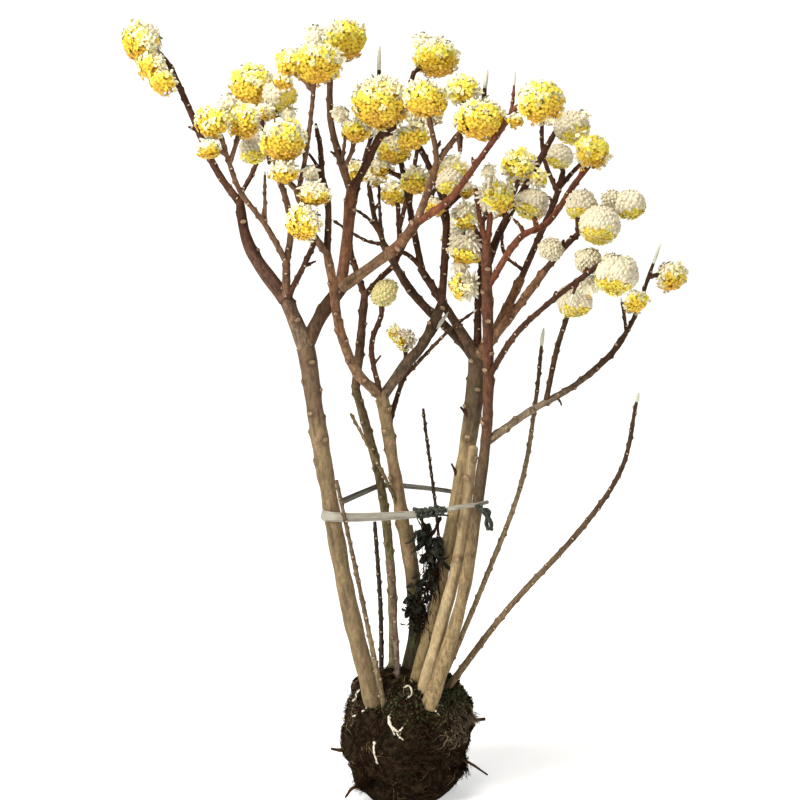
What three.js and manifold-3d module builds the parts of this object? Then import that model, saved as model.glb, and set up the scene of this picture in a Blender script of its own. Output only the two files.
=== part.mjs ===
// A paperbush in flower, lifted with its root ball: many stems tied together, forking into bare
// shoots that end in nodding round heads of blossom. Millimetres, +Z up, the front towards -Y.
// The origin is the middle of the root ball's flat underside.

import * as THREE from "three";
import { mergeVertices } from "three/addons/utils/BufferGeometryUtils.js";
import Module from "manifold-3d";

const wasm = await Module();
wasm.setup();

// Where the plant is looked at from. Every place below is [across, up, depth]: how far right and
// how far up it is seen from the origin, and how far behind the origin it lies.
const VIEW_TILT = THREE.MathUtils.degToRad(10);
const VIEW_DISTANCE = 2500;
const VIEW_MIDDLE_X = -6;
const VIEW_MIDDLE_Z = 492;

// Root ball
const BALL_RADIUS = 80;
const BALL_UNDERSIDE_RADIUS = 51;
const BALL_HEIGHT = 150;
const BALL_SIDES = 20;
// How high above the underside its rim still counts as flat.
const FLAT_WITHIN = 0.01;
// The lumps of soil, as waves round the ball: how many to a turn, their lean with height and start.
const BALL_LUMP = 2.7;
const LUMP_WAVES = [
  { turns: 3, lean: 0, start: 1 },
  { turns: 5, lean: 0.059, start: 0 },
  { turns: 2, lean: -0.043, start: 2 },
];
// Height and radius up the ball's side, as shares of its own.
const BALL_PROFILE = [
  [0.08, 0.74],
  [0.28, 0.86],
  [0.55, 1.03],
  [0.74, 0.93],
  [0.88, 0.76],
  [0.96, 0.45],
];
// Broken roots that stand out of the ball: angle round it, height, length and girth.
const BROKEN_ROOTS = [
  { turn: 4, height: 88, reach: 20, girth: 9, drop: 2 },
  { turn: -12, height: 44, reach: 24, girth: 5, drop: -16 },
  { turn: 176, height: 50, reach: 12, girth: 7, drop: 2 },
  { turn: 98, height: 62, reach: 15, girth: 6, drop: -7 },
  { turn: 215, height: 20, reach: 16, girth: 7, drop: -12 },
];
// Where a broken root starts and leaves the ball, as shares of its radius, and how much it thins.
const ROOT_START = 0.6;
const ROOT_EXIT = 0.95;
const ROOT_TAPER = 0.6;
const ROOT_SIDES = 5;
const ROOT_RING_SPACING = 30;

// Fit and facets
const CLEARANCE = 0.3;
const STEM_SIDES = 8;
const SHOOT_SIDES = 3;
const RING_SPACING = 60;
const SHOOT_RING_SPACING = 44;
const FORK_OVERLAP = 0.45;
const ROOT_FLARE = 0.12;
const ROOT_FLARE_REACH = 0.16;

// Flower heads
const HEAD_HEIGHT = 0.94;
const HEAD_LUMPS = 0.07;
const HEAD_LUMP_WAVES = 5;
const SHOOT_GIRTH = [5.5, 4.6];
const BARE_GIRTH = [4.2, 2.8];
const SHOOT_KINK = 0.07;
const SPUR_LENGTH = [9, 16];
const SPUR_GIRTH = [3.4, 2.2];
const SPUR_SHARES = [0.35, 0.75];
const SPUR_TWIGS = 2;
const SPURS_PER_SPRAY = 2;

// Tie
const TIE_HEIGHT = 11;
const TIE_THICKNESS = 1.2;
const THIN_TIE_HEIGHT = 6;
const KNOT_SIZE = [38, 11, 11];
const TIE_STEPS_PER_PLACE = 4;
const TAG_SIDES = 6;
const TAG_RING_SPACING = 15;

// Stems and boughs. A stem has a foot in the root ball, any other limb leaves another one, at the
// share given by at, or at its tip. Each goes through its places to its tip, and its girth runs
// evenly through the thicknesses listed.
const LIMBS = {
  stem_left: {
    foot: [-31, 82, -38],
    through: [[-68, 228, -39], [-100, 408, -40]],
    tip: [-120, 542, -40],
    girth: [22, 20, 20],
  },
  stem_left_slim: {
    foot: [-23, 92, -58],
    through: [[-52, 232, -60]],
    tip: [-82, 372, -60],
    girth: [6.5, 4],
  },
  stem_dark_thin: {
    foot: [-28, 120, 40],
    through: [[-29, 216, 40]],
    tip: [-36, 322, 38],
    girth: [6, 4.5],
  },
  stem_red_thin: {
    foot: [-8, 108, -12],
    through: [[-11, 180, -12]],
    tip: [-18, 276, -12],
    girth: [8, 5.5],
  },
  stem_olive_thin: {
    foot: [18, 120, 27],
    through: [[18, 228, 23]],
    tip: [7, 318, 18],
    girth: [6.5, 5],
  },
  stem_back_left: {
    foot: [-14, 120, 38],
    through: [[-16, 252, 42], [-30, 372, 46]],
    tip: [-60, 486, 50],
    girth: [11, 10],
  },
  stem_middle: {
    foot: [-2, 114, 8],
    through: [[13, 210, 2], [-5, 336, -10]],
    tip: [-28, 478, -20],
    girth: [16, 15, 13],
  },
  trunk_right: {
    foot: [6, 106, -20],
    through: [[26, 180, -14], [58, 324, -4], [79, 438, 6]],
    tip: [88, 528, 12],
    girth: [17, 16, 17, 21, 20],
  },
  stem_twin: {
    foot: [18, 102, -38],
    through: [[42, 192, -31], [66, 288, -22]],
    tip: [82, 410, -6],
    girth: [15, 12, 10],
  },
  stem_red: {
    foot: [28, 98, -54],
    through: [[68, 228, -42], [91, 372, -32], [100, 468, -28]],
    tip: [98, 654, -40],
    girth: [17, 12.5, 11, 10],
  },
  stem_slender: {
    foot: [40, 120, 14],
    through: [[96, 252, 12], [139, 366, 14], [157, 468, 18]],
    tip: [164, 534, 18],
    girth: [7, 5.5, 4],
  },
  shoot_arching: {
    foot: [49, 120, -8],
    through: [[124, 218, -25], [210, 312, -45], [260, 386, -58]],
    tip: [278, 466, -62],
    girth: [8, 6.5, 4],
  },
  shoot_straight: {
    foot: [32, 122, 22],
    through: [[42, 276, 20]],
    tip: [22, 458, 10],
    girth: [4.5, 3],
  },
  shoot_crossing: {
    from: "stem_middle",
    at: 0.66,
    through: [[-28, 384, -30]],
    tip: [-65, 452, -36],
    girth: [4.6, 3],
  },
  bough_left: {
    from: "stem_left",
    through: [[-133, 566, -43]],
    tip: [-145, 595, -46],
    girth: [18, 15],
  },
  bough_inner_left: {
    from: "stem_left",
    through: [[-100, 571, -36]],
    tip: [-74, 607, -30],
    girth: [17, 15],
  },
  limb_far_left: {
    from: "bough_left",
    through: [[-176, 634, -34], [-191, 666, -26]],
    tip: [-198, 708, -18],
    girth: [14, 10],
  },
  limb_up: {
    from: "bough_inner_left",
    through: [[-70, 654, -28]],
    tip: [-64, 724, -24],
    girth: [14, 12],
  },
  limb_arch: {
    from: "bough_inner_left",
    through: [[-36, 632, -52], [-6, 656, -66]],
    tip: [16, 684, -76],
    girth: [13, 10.5],
  },
  limb_front: {
    from: "stem_middle",
    through: [[-58, 503, -36], [-78, 554, -56], [-86, 606, -64]],
    tip: [-94, 648, -66],
    girth: [12, 9],
  },
  limb_middle: {
    from: "stem_middle",
    through: [[0, 510, -14], [23, 538, -10]],
    tip: [46, 588, -6],
    girth: [13, 12, 10],
  },
  limb_back_left: {
    from: "stem_back_left",
    through: [[-53, 540, 54]],
    tip: [-48, 598, 58],
    girth: [10.5, 9.5],
  },
  limb_back: {
    from: "trunk_right",
    through: [[54, 552, 30], [8, 599, 48]],
    tip: [-26, 656, 60],
    girth: [12, 8.5],
  },
  limb_centre: {
    from: "trunk_right",
    through: [[54, 572, 14]],
    tip: [19, 626, 22],
    girth: [12, 8.5],
  },
  limb_right_back: {
    from: "trunk_right",
    through: [[114, 562, 20]],
    tip: [139, 613, 40],
    girth: [12, 10],
  },
  limb_right_low: {
    from: "trunk_right",
    through: [[126, 568, -4]],
    tip: [168, 624, -46],
    girth: [10, 8.5],
  },
  limb_right_bottom: {
    from: "stem_red",
    at: 0.625,
    through: [[150, 455, -10], [202, 485, 10], [244, 520, 24]],
    tip: [265, 548, 30],
    girth: [10, 7, 6.5],
  },
};

// Sprays of flowering shoots. A spray's stem leaves its limb's tip, or the limb at a share of its
// length. Each shoot leaves the stem, or the earlier shoot counted by on, at its own share, and
// ends in a head of the radius given, or in a bare tip.
const SPRAYS = {
  spray_far_left: {
    from: "limb_far_left",
    stem: { through: [[-228, 748, -12], [-258, 816, -8]], tip: [-282, 870, -6], girth: [9, 6.5] },
    shoots: [
      { at: 1, head: [-316, 898, -10], radius: 24 },
      { at: 0.97, head: [-290, 851, -30], radius: 16 },
      { at: 0.04, through: [[-179, 750, 4], [-170, 794, 12]], head: [-184, 847, 18], radius: 25 },
      { on: 2, at: 0.4, head: [-186, 800, 66], radius: 20 },
    ],
  },
  spray_mid_left: {
    from: "bough_left",
    stem: { through: [], tip: [-142, 634, -62], girth: [10, 8.5] },
    shoots: [
      { at: 1, through: [[-167, 678, -74], [-198, 720, -86]], tip: [-215, 766, -94], girth: [7, 5] },
      { on: 0, at: 1, head: [-230, 802, -96], radius: 19 },
      { on: 0, at: 0.97, head: [-234, 770, -114], radius: 13 },
      { on: 0, at: 0.9, head: [-194, 804, -80], radius: 21 },
      { on: 0, at: 0.34, tip: [-168, 738, -66] },
      { at: 1, through: [[-137, 674, -52], [-146, 720, -42]], tip: [-172, 778, -34], girth: [8, 6] },
      { on: 5, at: 0.96, head: [-182, 768, -44], radius: 17 },
      { on: 5, at: 0.8, head: [-149, 833, -18], radius: 19 },
    ],
  },
  spray_left_low: {
    from: "bough_left",
    stem: { through: [[-124, 624, -66]], tip: [-109, 656, -84], girth: [7, 5.5] },
    shoots: [{ at: 1, head: [-122, 682, -112], radius: 21 }],
  },
  spray_up_left: {
    from: "limb_up",
    stem: { through: [[-77, 756, -22], [-89, 804, -20]], tip: [-90, 862, -22], girth: [9.5, 6.5] },
    shoots: [
      { at: 1, head: [-73, 900, -24], radius: 25 },
      { at: 0.3, through: [[-72, 780, -34]], tip: [-71, 802, -42] },
      { at: 0.25, through: [[-64, 766, -34]], head: [-59, 792, -40], radius: 15 },
    ],
  },
  spray_up_right: {
    from: "limb_up",
    stem: { through: [[-49, 746, -30], [-30, 784, -36]], tip: [-13, 797, -40], girth: [9.5, 8] },
    shoots: [
      { at: 0.85, head: [-31, 826, -54], radius: 33 },
      { at: 1, through: [[-1, 823, -36]], tip: [11, 862, -30], girth: [6.5, 5.5] },
      { on: 1, at: 1, head: [38, 880, -26], radius: 26 },
    ],
  },
  spray_arch_left: {
    from: "limb_arch",
    stem: { through: [[28, 720, -82]], tip: [38, 752, -86], girth: [8.5, 7.5] },
    shoots: [
      { at: 1, through: [[36, 774, -92]], head: [24, 830, -100], radius: 24, girth: [6, 5] },
      { at: 1, through: [[52, 772, -84]], tip: [68, 792, -80], girth: [7, 6] },
      { on: 1, at: 1, head: [68, 840, -66], radius: 20 },
      { on: 1, at: 0.95, head: [91, 806, -98], radius: 27 },
      { on: 1, at: 0.9, tip: [66, 767, -86], girth: [5, 4] },
    ],
  },
  spray_arch_right: {
    from: "limb_arch",
    stem: { through: [[54, 710, -88], [96, 766, -100]], tip: [134, 820, -110], girth: [9.5, 7, 6] },
    shoots: [
      { at: 1, head: [163, 827, -114], radius: 26 },
      { at: 0.93, tip: [131, 846, -100] },
    ],
  },
  spray_front_left: {
    from: "limb_front",
    stem: { through: [[-114, 674, -76]], tip: [-130, 720, -84], girth: [8.5, 7.5] },
    shoots: [
      { at: 1, through: [[-146, 742, -90]], head: [-145, 781, -98], radius: 25, girth: [6.5, 5.5] },
      { on: 0, at: 0.5, head: [-145, 742, -104], radius: 15 },
      { at: 0.95, through: [[-119, 762, -86], [-112, 816, -84]], head: [-107, 874, -80], radius: 28 },
      { on: 2, at: 0.8, head: [-138, 874, -86], radius: 16 },
    ],
  },
  spray_front_right: {
    from: "limb_front",
    stem: { through: [[-92, 702, -60]], tip: [-101, 742, -60], girth: [8, 7] },
    shoots: [
      { at: 1, tip: [-115, 764, -66] },
      { at: 0.75, head: [-108, 716, -104], radius: 17 },
      { at: 0.9, tip: [-106, 794, -58], girth: [6, 5] },
    ],
  },
  spray_centre: {
    from: "limb_middle",
    stem: {
      through: [[48, 642, -4], [49, 694, -6], [34, 738, -10]],
      tip: [14, 780, -14],
      girth: [9.5, 8, 6],
    },
    shoots: [
      { at: 1, head: [10, 786, -24], radius: 18 },
      { at: 0.58, head: [54, 730, -24], radius: 16 },
      { at: 0.52, head: [71, 720, 0], radius: 11 },
      { at: 0.4, head: [35, 701, -26], radius: 11 },
    ],
  },
  spray_bud_twig: {
    from: "stem_middle",
    at: 0.95,
    stem: { through: [[-40, 528, -36]], tip: [-28, 571, -42], girth: [6.5, 5.5] },
    shoots: [{ at: 1, head: [-25, 596, -44], radius: 15 }],
  },
  spray_middle_side: {
    from: "stem_middle",
    at: 0.9,
    stem: { through: [[2, 502, 10]], tip: [38, 554, 10], girth: [6, 4.5] },
    shoots: [
      { at: 0.45, through: [[50, 549, -18]], tip: [82, 574, -14] },
      { at: 0.5, head: [-1, 541, 14], radius: 14 },
    ],
  },
  spray_back_rise: {
    from: "limb_back_left",
    stem: { through: [[-59, 626, 66], [-66, 660, 76]], tip: [-61, 722, 92], girth: [8, 6.5, 5.5] },
    shoots: [
      { at: 1, head: [-61, 743, 104], radius: 16 },
      { at: 0.8, through: [[-50, 752, 124]], head: [-32, 808, 138], radius: 26 },
    ],
  },
  spray_back_spread: {
    from: "limb_back_left",
    stem: { through: [[-30, 614, 72], [-8, 642, 92]], tip: [-8, 700, 122], girth: [8, 6.5, 5.5] },
    shoots: [
      { at: 1, head: [-13, 716, 130], radius: 16 },
      { at: 0.85, through: [[12, 752, 130]], head: [22, 818, 140], radius: 23 },
      { at: 0.6, through: [[30, 712, 150]], head: [56, 742, 168], radius: 22 },
    ],
  },
  spray_back: {
    from: "limb_back",
    stem: { through: [[-36, 686, 66]], tip: [-43, 725, 70], girth: [6.5, 5.5] },
    shoots: [
      { at: 1, head: [-36, 737, 76], radius: 12 },
      { at: 0.1, through: [[-30, 692, 52]], tip: [-31, 726, 52] },
      { at: 0.25, tip: [-58, 696, 60] },
      { at: 0.05, through: [[-47, 660, 60]], tip: [-85, 683, 60] },
    ],
  },
  spray_centre_back: {
    from: "limb_centre",
    stem: { through: [[12, 666, 28], [4, 710, 34]], tip: [-4, 752, 36], girth: [8, 6.5] },
    shoots: [
      { at: 1, head: [-14, 770, 36], radius: 21 },
      { at: 0.85, head: [-30, 748, 40], radius: 13 },
      { at: 0.6, head: [13, 732, 24], radius: 18 },
      { at: 0.04, tip: [-10, 648, 26], girth: [6, 4.5] },
    ],
  },
  spray_upright: {
    from: "trunk_right",
    stem: { through: [[88, 588, 26], [92, 630, 34]], tip: [93, 682, 42], girth: [9.5, 8, 6.5] },
    shoots: [
      { at: 0.5, head: [71, 606, -28], radius: 18 },
      { at: 0.68, head: [73, 650, -22], radius: 20 },
      { at: 0.85, head: [74, 689, -10], radius: 17 },
      { at: 1, head: [108, 708, 84], radius: 22 },
      { at: 0.8, head: [66, 668, 92], radius: 20 },
    ],
  },
  spray_red: {
    from: "stem_red",
    stem: { through: [], tip: [103, 692, -46], girth: [7.5, 6.5] },
    shoots: [
      { at: 1, head: [109, 714, -50], radius: 21 },
      { at: 0.1, through: [[91, 682, -44]], tip: [85, 722, -46], girth: [6.5, 5] },
    ],
  },
  spray_right_back: {
    from: "limb_right_back",
    stem: { through: [[162, 666, 52], [180, 708, 60]], tip: [190, 742, 66], girth: [8, 6.5] },
    shoots: [
      { at: 1, head: [186, 760, 70], radius: 16 },
      { at: 0.62, tip: [169, 713, 40] },
      { at: 0.8, head: [224, 764, 96], radius: 19 },
      { at: 0.75, through: [[166, 764, 88]], head: [165, 824, 100], radius: 20 },
      { at: 0.08, through: [[118, 648, 56]], tip: [120, 702, 66] },
      { on: 4, at: 0.9, head: [138, 748, 98], radius: 20 },
    ],
  },
  spray_right_low: {
    from: "limb_right_low",
    stem: { through: [[190, 650, -66]], tip: [210, 670, -80], girth: [7.5, 6] },
    shoots: [
      { at: 1, head: [234, 677, -96], radius: 24 },
      { at: 1, through: [[240, 690, -70]], head: [270, 702, -76], radius: 18 },
      { at: 0.95, head: [211, 701, -64], radius: 19 },
      { at: 0.35, head: [175, 648, -88], radius: 14 },
    ],
  },
  spray_right: {
    from: "stem_red",
    at: 0.935,
    stem: {
      through: [[136, 661, -52], [172, 682, -48], [204, 728, -40]],
      tip: [220, 748, -36],
      girth: [8, 7, 6],
    },
    shoots: [
      { at: 1, head: [224, 767, -34], radius: 20 },
      { at: 0.4, head: [152, 702, -28], radius: 20 },
      { at: 0.3, tip: [130, 686, -62] },
    ],
  },
  spray_right_high: {
    from: "stem_red",
    at: 0.968,
    stem: {
      through: [[114, 670, -20], [143, 722, 8], [166, 764, 20]],
      tip: [186, 800, 26],
      girth: [10, 8, 6],
    },
    shoots: [
      { at: 1, head: [200, 794, 20], radius: 21 },
      { at: 0.55, head: [138, 750, -18], radius: 20 },
    ],
  },
  spray_right_front: {
    from: "stem_red",
    at: 0.795,
    stem: {
      through: [[132, 546, -62], [172, 584, -92], [216, 618, -118]],
      tip: [238, 634, -128],
      girth: [7.5, 6, 5.5],
    },
    shoots: [
      { at: 1, head: [254, 617, -136], radius: 24 },
      { at: 0.75, head: [220, 634, -98], radius: 16 },
      { at: 0.7, tip: [202, 596, -116] },
    ],
  },
  spray_far_right: {
    from: "limb_right_bottom",
    stem: { through: [[276, 570, 34]], tip: [298, 632, 42], girth: [6, 5, 4] },
    shoots: [
      { at: 0.88, head: [320, 617, 50], radius: 19 },
      { at: 0.1, tip: [260, 586, 28] },
      { on: 1, at: 0.9, head: [277, 587, 10], radius: 14 },
    ],
  },
  spray_bottom_right: {
    from: "limb_right_bottom",
    at: 0.34,
    stem: { through: [[182, 528, -12]], tip: [194, 566, -20], girth: [6.5, 5.5] },
    shoots: [{ at: 1, head: [204, 586, -26], radius: 21 }],
  },
};

// The tie of flat packing tape that holds the stems together, in the strips that show.
const TIE_STRIPS = {
  tie_front: {
    path: [[-88, 336, -24], [-99, 330, -42], [-84, 328, -58], [-40, 329, -52], [16, 331, -40]],
    height: TIE_HEIGHT,
  },
  tie_right: {
    path: [[45, 336, -38], [66, 340, -47], [88, 343, -48], [100, 346, -38]],
    height: THIN_TIE_HEIGHT,
  },
  tie_back: {
    path: [[-76, 346, -22], [-48, 358, 22], [-24, 366, 60], [14, 364, 54], [48, 360, 34], [68, 356, 14]],
    height: THIN_TIE_HEIGHT,
  },
};
const KNOT_PLACE = [31, 334, -38];
const TIE_TAG = {
  path: [[86, 342, -52], [98, 332, -52], [102, 312, -50]],
  girth: [5, 9, 5],
};

// Withered leaves and moss caught between the stems under the knot.
const TANGLE = {
  top: [24, 316, -24],
  through: [[34, 276, -20], [22, 236, -18]],
  foot: [20, 200, -16],
  lumps: 8,
  lump_radius: [5, 10],
  lump_shape: [1, 0.8, 1.4],
  sides: 5,
  ring_spacing: 30,
};

const BARK = {
  tan: { color: 0x9c8a63, roughness: 0.8, metalness: 0 },
  grey: { color: 0x7a6b54, roughness: 0.85, metalness: 0 },
  red: { color: 0x5d3528, roughness: 0.7, metalness: 0 },
};
const BLOSSOM = { color: 0xe8cf4a, roughness: 0.9, metalness: 0 };
const SOIL = { color: 0x2a2019, roughness: 0.95, metalness: 0 };
const TAPE = { color: 0xb9c0b6, roughness: 0.45, metalness: 0 };
const WITHERED = { color: 0x1f1c16, roughness: 0.9, metalness: 0 };

/** A small seeded generator of numbers from 0 to 1. */
function seeded(seed) {
  let state = seed >>> 0;
  return () => {
    state = (state + 0x6d2b79f5) >>> 0;
    let mixed = Math.imul(state ^ (state >>> 15), state | 1);
    mixed ^= mixed + Math.imul(mixed ^ (mixed >>> 7), mixed | 61);
    return ((mixed ^ (mixed >>> 14)) >>> 0) / 4294967296;
  };
}

/** A whole number worked out from a name, to seed what grows under that name. */
function seedOf(name) {
  return [...name].reduce((sum, letter) => (sum * 31 + letter.charCodeAt(0)) % 65521, 7);
}

/** The point of the plant that is seen at a place. */
function place([across, up, depth]) {
  const sin = Math.sin(VIEW_TILT);
  const cos = Math.cos(VIEW_TILT);
  const originSpan = VIEW_DISTANCE + VIEW_MIDDLE_Z * sin;
  const a = across / VIEW_DISTANCE - VIEW_MIDDLE_X / originSpan;
  const b = up / VIEW_DISTANCE - (VIEW_MIDDLE_Z * cos) / originSpan;
  const rise = (b * (VIEW_DISTANCE + depth * cos) - depth * sin) / (cos + b * sin);
  const span = VIEW_DISTANCE + depth * cos - rise * sin;
  return new THREE.Vector3(VIEW_MIDDLE_X + a * span, depth, VIEW_MIDDLE_Z + rise);
}

/** The value at a share of the way through a list of evenly spaced values. */
function blend(values, share) {
  const step = share * (values.length - 1);
  const first = Math.min(Math.floor(step), values.length - 2);
  return THREE.MathUtils.lerp(values[first], values[first + 1], step - first);
}

/** The solid that a closed geometry bounds. */
function solidOf(geometry) {
  geometry.deleteAttribute("normal");
  geometry.deleteAttribute("uv");
  const merged = mergeVertices(geometry, 1e-4);
  const corners = [];
  for (let i = 0; i < merged.index.count; i += 3) {
    const triangle = [0, 1, 2].map((k) => merged.index.getX(i + k));
    if (new Set(triangle).size === 3) corners.push(...triangle);
  }
  return new wasm.Manifold(
    new wasm.Mesh({
      numProp: 3,
      vertProperties: new Float32Array(merged.attributes.position.array),
      triVerts: new Uint32Array(corners),
    })
  );
}

/** The geometry of a solid. */
function geometryOf(solid) {
  const mesh = solid.getMesh();
  const geometry = new THREE.BufferGeometry();
  geometry.setAttribute("position", new THREE.BufferAttribute(mesh.vertProperties, 3));
  geometry.setIndex(new THREE.BufferAttribute(mesh.triVerts, 1));
  geometry.computeVertexNormals();
  return geometry;
}

/** One solid out of several that run into one another. */
function fused(solids) {
  return solids.reduce((sum, solid) => sum.add(solid));
}

/** The largest body of a solid. */
function largest(solid) {
  return solid.decompose().reduce((best, body) => (body.volume() > best.volume() ? body : best));
}

/** The direction across a path and the one square to it and to the path. */
function acrossPath(path, t) {
  const along = path.getTangent(t);
  const side = new THREE.Vector3().crossVectors(along, new THREE.Vector3(0, 1, 0)).normalize();
  const other = new THREE.Vector3().crossVectors(side, along);
  return { along, side, other };
}

/** A tapering limb along a path, with its girth worked out at each share of the way. */
function limbSolid(path, girthAt, sides, spacing, grow) {
  const rings = Math.max(2, Math.round(path.getLength() / spacing));
  const geometry = new THREE.CylinderGeometry(1, 1, 1, sides, rings);
  const position = geometry.attributes.position;
  for (let i = 0; i < position.count; i++) {
    const t = position.getY(i) + 0.5;
    const { along, side, other } = acrossPath(path, t);
    const radius = girthAt(t) / 2 + grow;
    const point = path.getPoint(t);
    point.addScaledVector(other, -position.getX(i) * radius);
    point.addScaledVector(side, position.getZ(i) * radius);
    point.addScaledVector(along, (t < 0.5 ? -1 : 1) * (t === 0 || t === 1 ? grow : 0));
    position.setXYZ(i, point.x, point.y, point.z);
  }
  return solidOf(geometry);
}

/** The path of a limb of the list, from its foot or the limb that it leaves to its tip. */
function limbPath(name) {
  const limb = LIMBS[name];
  const ends = [...limb.through, limb.tip].map(place);
  const start = limb.foot ? place(limb.foot) : leavingPoint(limb, ends[0]);
  return new THREE.CatmullRomCurve3([start, ...ends], false, "catmullrom", 0.5);
}

/** Where a limb or a spray starts, just inside what it leaves. */
function leavingPoint({ from, at = 1 }, next) {
  const point = limbPath(from).getPoint(at);
  const depth = girthOf(LIMBS[from], at) * FORK_OVERLAP;
  return at === 1 ? point.addScaledVector(limbPath(from).getTangent(1), -depth) : point;
}

/** The girth of a limb at a share of its length, with a root flare if it has a foot. */
function girthOf(limb, t) {
  const flare = limb.foot ? ROOT_FLARE * Math.max(0, 1 - t / ROOT_FLARE_REACH) : 0;
  return blend(limb.girth, t) * (1 + flare);
}

/** The solid of a stem or bough, grown outwards by a clearance. */
function limb(name, grow) {
  const girthAt = (t) => girthOf(LIMBS[name], t);
  return limbSolid(limbPath(name), girthAt, STEM_SIDES, RING_SPACING, grow);
}

/** A round flower head, lumpy with its florets. */
function headSolid(centre, radius, random, grow) {
  const geometry = new THREE.IcosahedronGeometry(1, 1);
  const phase = [random(), random(), random()].map((share) => share * Math.PI * 2);
  const position = geometry.attributes.position;
  for (let i = 0; i < position.count; i++) {
    const way = new THREE.Vector3().fromBufferAttribute(position, i);
    const waves = way.toArray().map((part, axis) => Math.sin(HEAD_LUMP_WAVES * part + phase[axis]));
    const lump = (waves[0] + waves[1] + waves[2]) / waves.length;
    const reach = radius * (1 + HEAD_LUMPS * lump) + grow;
    way.multiply(new THREE.Vector3(reach, reach, reach * HEAD_HEIGHT)).add(centre);
    position.setXYZ(i, way.x, way.y, way.z);
  }
  return solidOf(geometry);
}

/** The paths and heads of a spray, worked out once by its seeded rule. */
function growSpray(name) {
  const { from, at, stem, shoots } = SPRAYS[name];
  const random = seeded(seedOf(name));
  const stemEnds = [...stem.through, stem.tip].map(place);
  const start = leavingPoint({ from, at }, stemEnds[0]);
  const curve = (points) => new THREE.CatmullRomCurve3(points, false, "catmullrom", 0.5);
  const twigs = [{ path: curve([start, ...stemEnds]), girth: stem.girth }];
  const heads = [];
  for (const shoot of shoots) {
    const parent = twigs[shoot.on === undefined ? 0 : shoot.on + 1];
    const root = parent.path.getPoint(shoot.at);
    const end = place(shoot.head ?? shoot.tip);
    const ends = (shoot.through ?? []).map(place);
    if (ends.length === 0) {
      const kink = root.distanceTo(end) * SHOOT_KINK;
      const middle = root.clone().lerp(end, 0.5);
      middle.add(new THREE.Vector3(random() - 0.5, random() - 0.5, random()).multiplyScalar(kink * 2));
      ends.push(middle);
    }
    const girth = shoot.girth ?? (shoot.head ? SHOOT_GIRTH : BARE_GIRTH);
    twigs.push({ path: curve([root, ...ends, end]), girth });
    if (shoot.head) heads.push({ centre: end, radius: shoot.radius, seed: seedOf(name) + heads.length });
  }
  return { twigs: [...twigs, ...spurs(twigs, random)], heads };
}

/** Short bare spurs on the longer twigs of a spray. */
function spurs(twigs, random) {
  const grown = [];
  for (let i = 0; i < SPURS_PER_SPRAY; i++) {
    const { path } = twigs[Math.floor(random() * Math.min(SPUR_TWIGS, twigs.length))];
    const t = THREE.MathUtils.lerp(...SPUR_SHARES, random());
    const root = path.getPoint(t);
    const { along, side, other } = acrossPath(path, t);
    const turn = random() * Math.PI * 2;
    const length = THREE.MathUtils.lerp(...SPUR_LENGTH, random());
    const way = along.clone().addScaledVector(side, Math.cos(turn)).addScaledVector(other, Math.sin(turn));
    const tip = root.clone().addScaledVector(way.normalize(), length);
    grown.push({ path: new THREE.LineCurve3(root, tip), girth: SPUR_GIRTH });
  }
  return grown;
}

/** The solid of a spray, grown outwards by a clearance. */
function spray(name, grow) {
  const { twigs, heads } = growSpray(name);
  const solids = twigs.map(({ path, girth }) =>
    limbSolid(path, (t) => blend(girth, t), SHOOT_SIDES, SHOOT_RING_SPACING, grow)
  );
  for (const { centre, radius, seed } of heads) {
    solids.push(headSolid(centre, radius, seeded(seed), grow));
  }
  return fused(solids);
}

/** A flat strip of tape that stands on edge along its path. */
function strip({ path, height }, grow) {
  const curve = new THREE.CatmullRomCurve3(path.map(place), false, "catmullrom", 0.5);
  const steps = path.length * TIE_STEPS_PER_PLACE;
  const thickness = TIE_THICKNESS + 2 * grow;
  const geometry = new THREE.BoxGeometry(1, thickness, height + 2 * grow, steps, 1, 1);
  const position = geometry.attributes.position;
  for (let i = 0; i < position.count; i++) {
    const t = position.getX(i) + 0.5;
    const along = curve.getTangent(t).setZ(0).normalize();
    const point = curve.getPoint(t);
    point.addScaledVector(along, t === 0 ? -grow : t === 1 ? grow : 0);
    point.add(new THREE.Vector3(-along.y, along.x, 0).multiplyScalar(position.getY(i)));
    point.z += position.getZ(i);
    position.setXYZ(i, point.x, point.y, point.z);
  }
  return solidOf(geometry);
}

/** The pulled-tight knot of the tie. */
function knot(grow) {
  const geometry = new THREE.IcosahedronGeometry(1, 1);
  const [long, deep, high] = KNOT_SIZE.map((size) => size / 2 + grow);
  geometry.scale(long, deep, high);
  const centre = place(KNOT_PLACE);
  geometry.translate(centre.x, centre.y, centre.z);
  return solidOf(geometry);
}

/** The tie's loose end, balled up, that hangs down at the right. */
function tag(grow) {
  const path = new THREE.CatmullRomCurve3(TIE_TAG.path.map(place), false, "catmullrom", 0.5);
  return limbSolid(path, (t) => blend(TIE_TAG.girth, t), TAG_SIDES, TAG_RING_SPACING, grow);
}

/** The tangle of withered leaves, lump after lump down its path. */
function tangle(grow) {
  const random = seeded(seedOf("tangle"));
  const places = [TANGLE.top, ...TANGLE.through, TANGLE.foot].map(place);
  const path = new THREE.CatmullRomCurve3(places, false, "catmullrom", 0.5);
  const girth = 2 * TANGLE.lump_radius[0];
  const strand = limbSolid(path, () => girth, TANGLE.sides, TANGLE.ring_spacing, grow);
  const lumps = Array.from({ length: TANGLE.lumps }, (_, i) => {
    const radius = THREE.MathUtils.lerp(...TANGLE.lump_radius, random());
    const geometry = new THREE.IcosahedronGeometry(radius + grow, 0);
    geometry.scale(...TANGLE.lump_shape);
    geometry.rotateY(random() * Math.PI);
    const point = path.getPoint((i + 0.5) / TANGLE.lumps);
    geometry.translate(point.x, point.y, point.z);
    return solidOf(geometry);
  });
  return fused([strand, ...lumps]);
}

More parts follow.
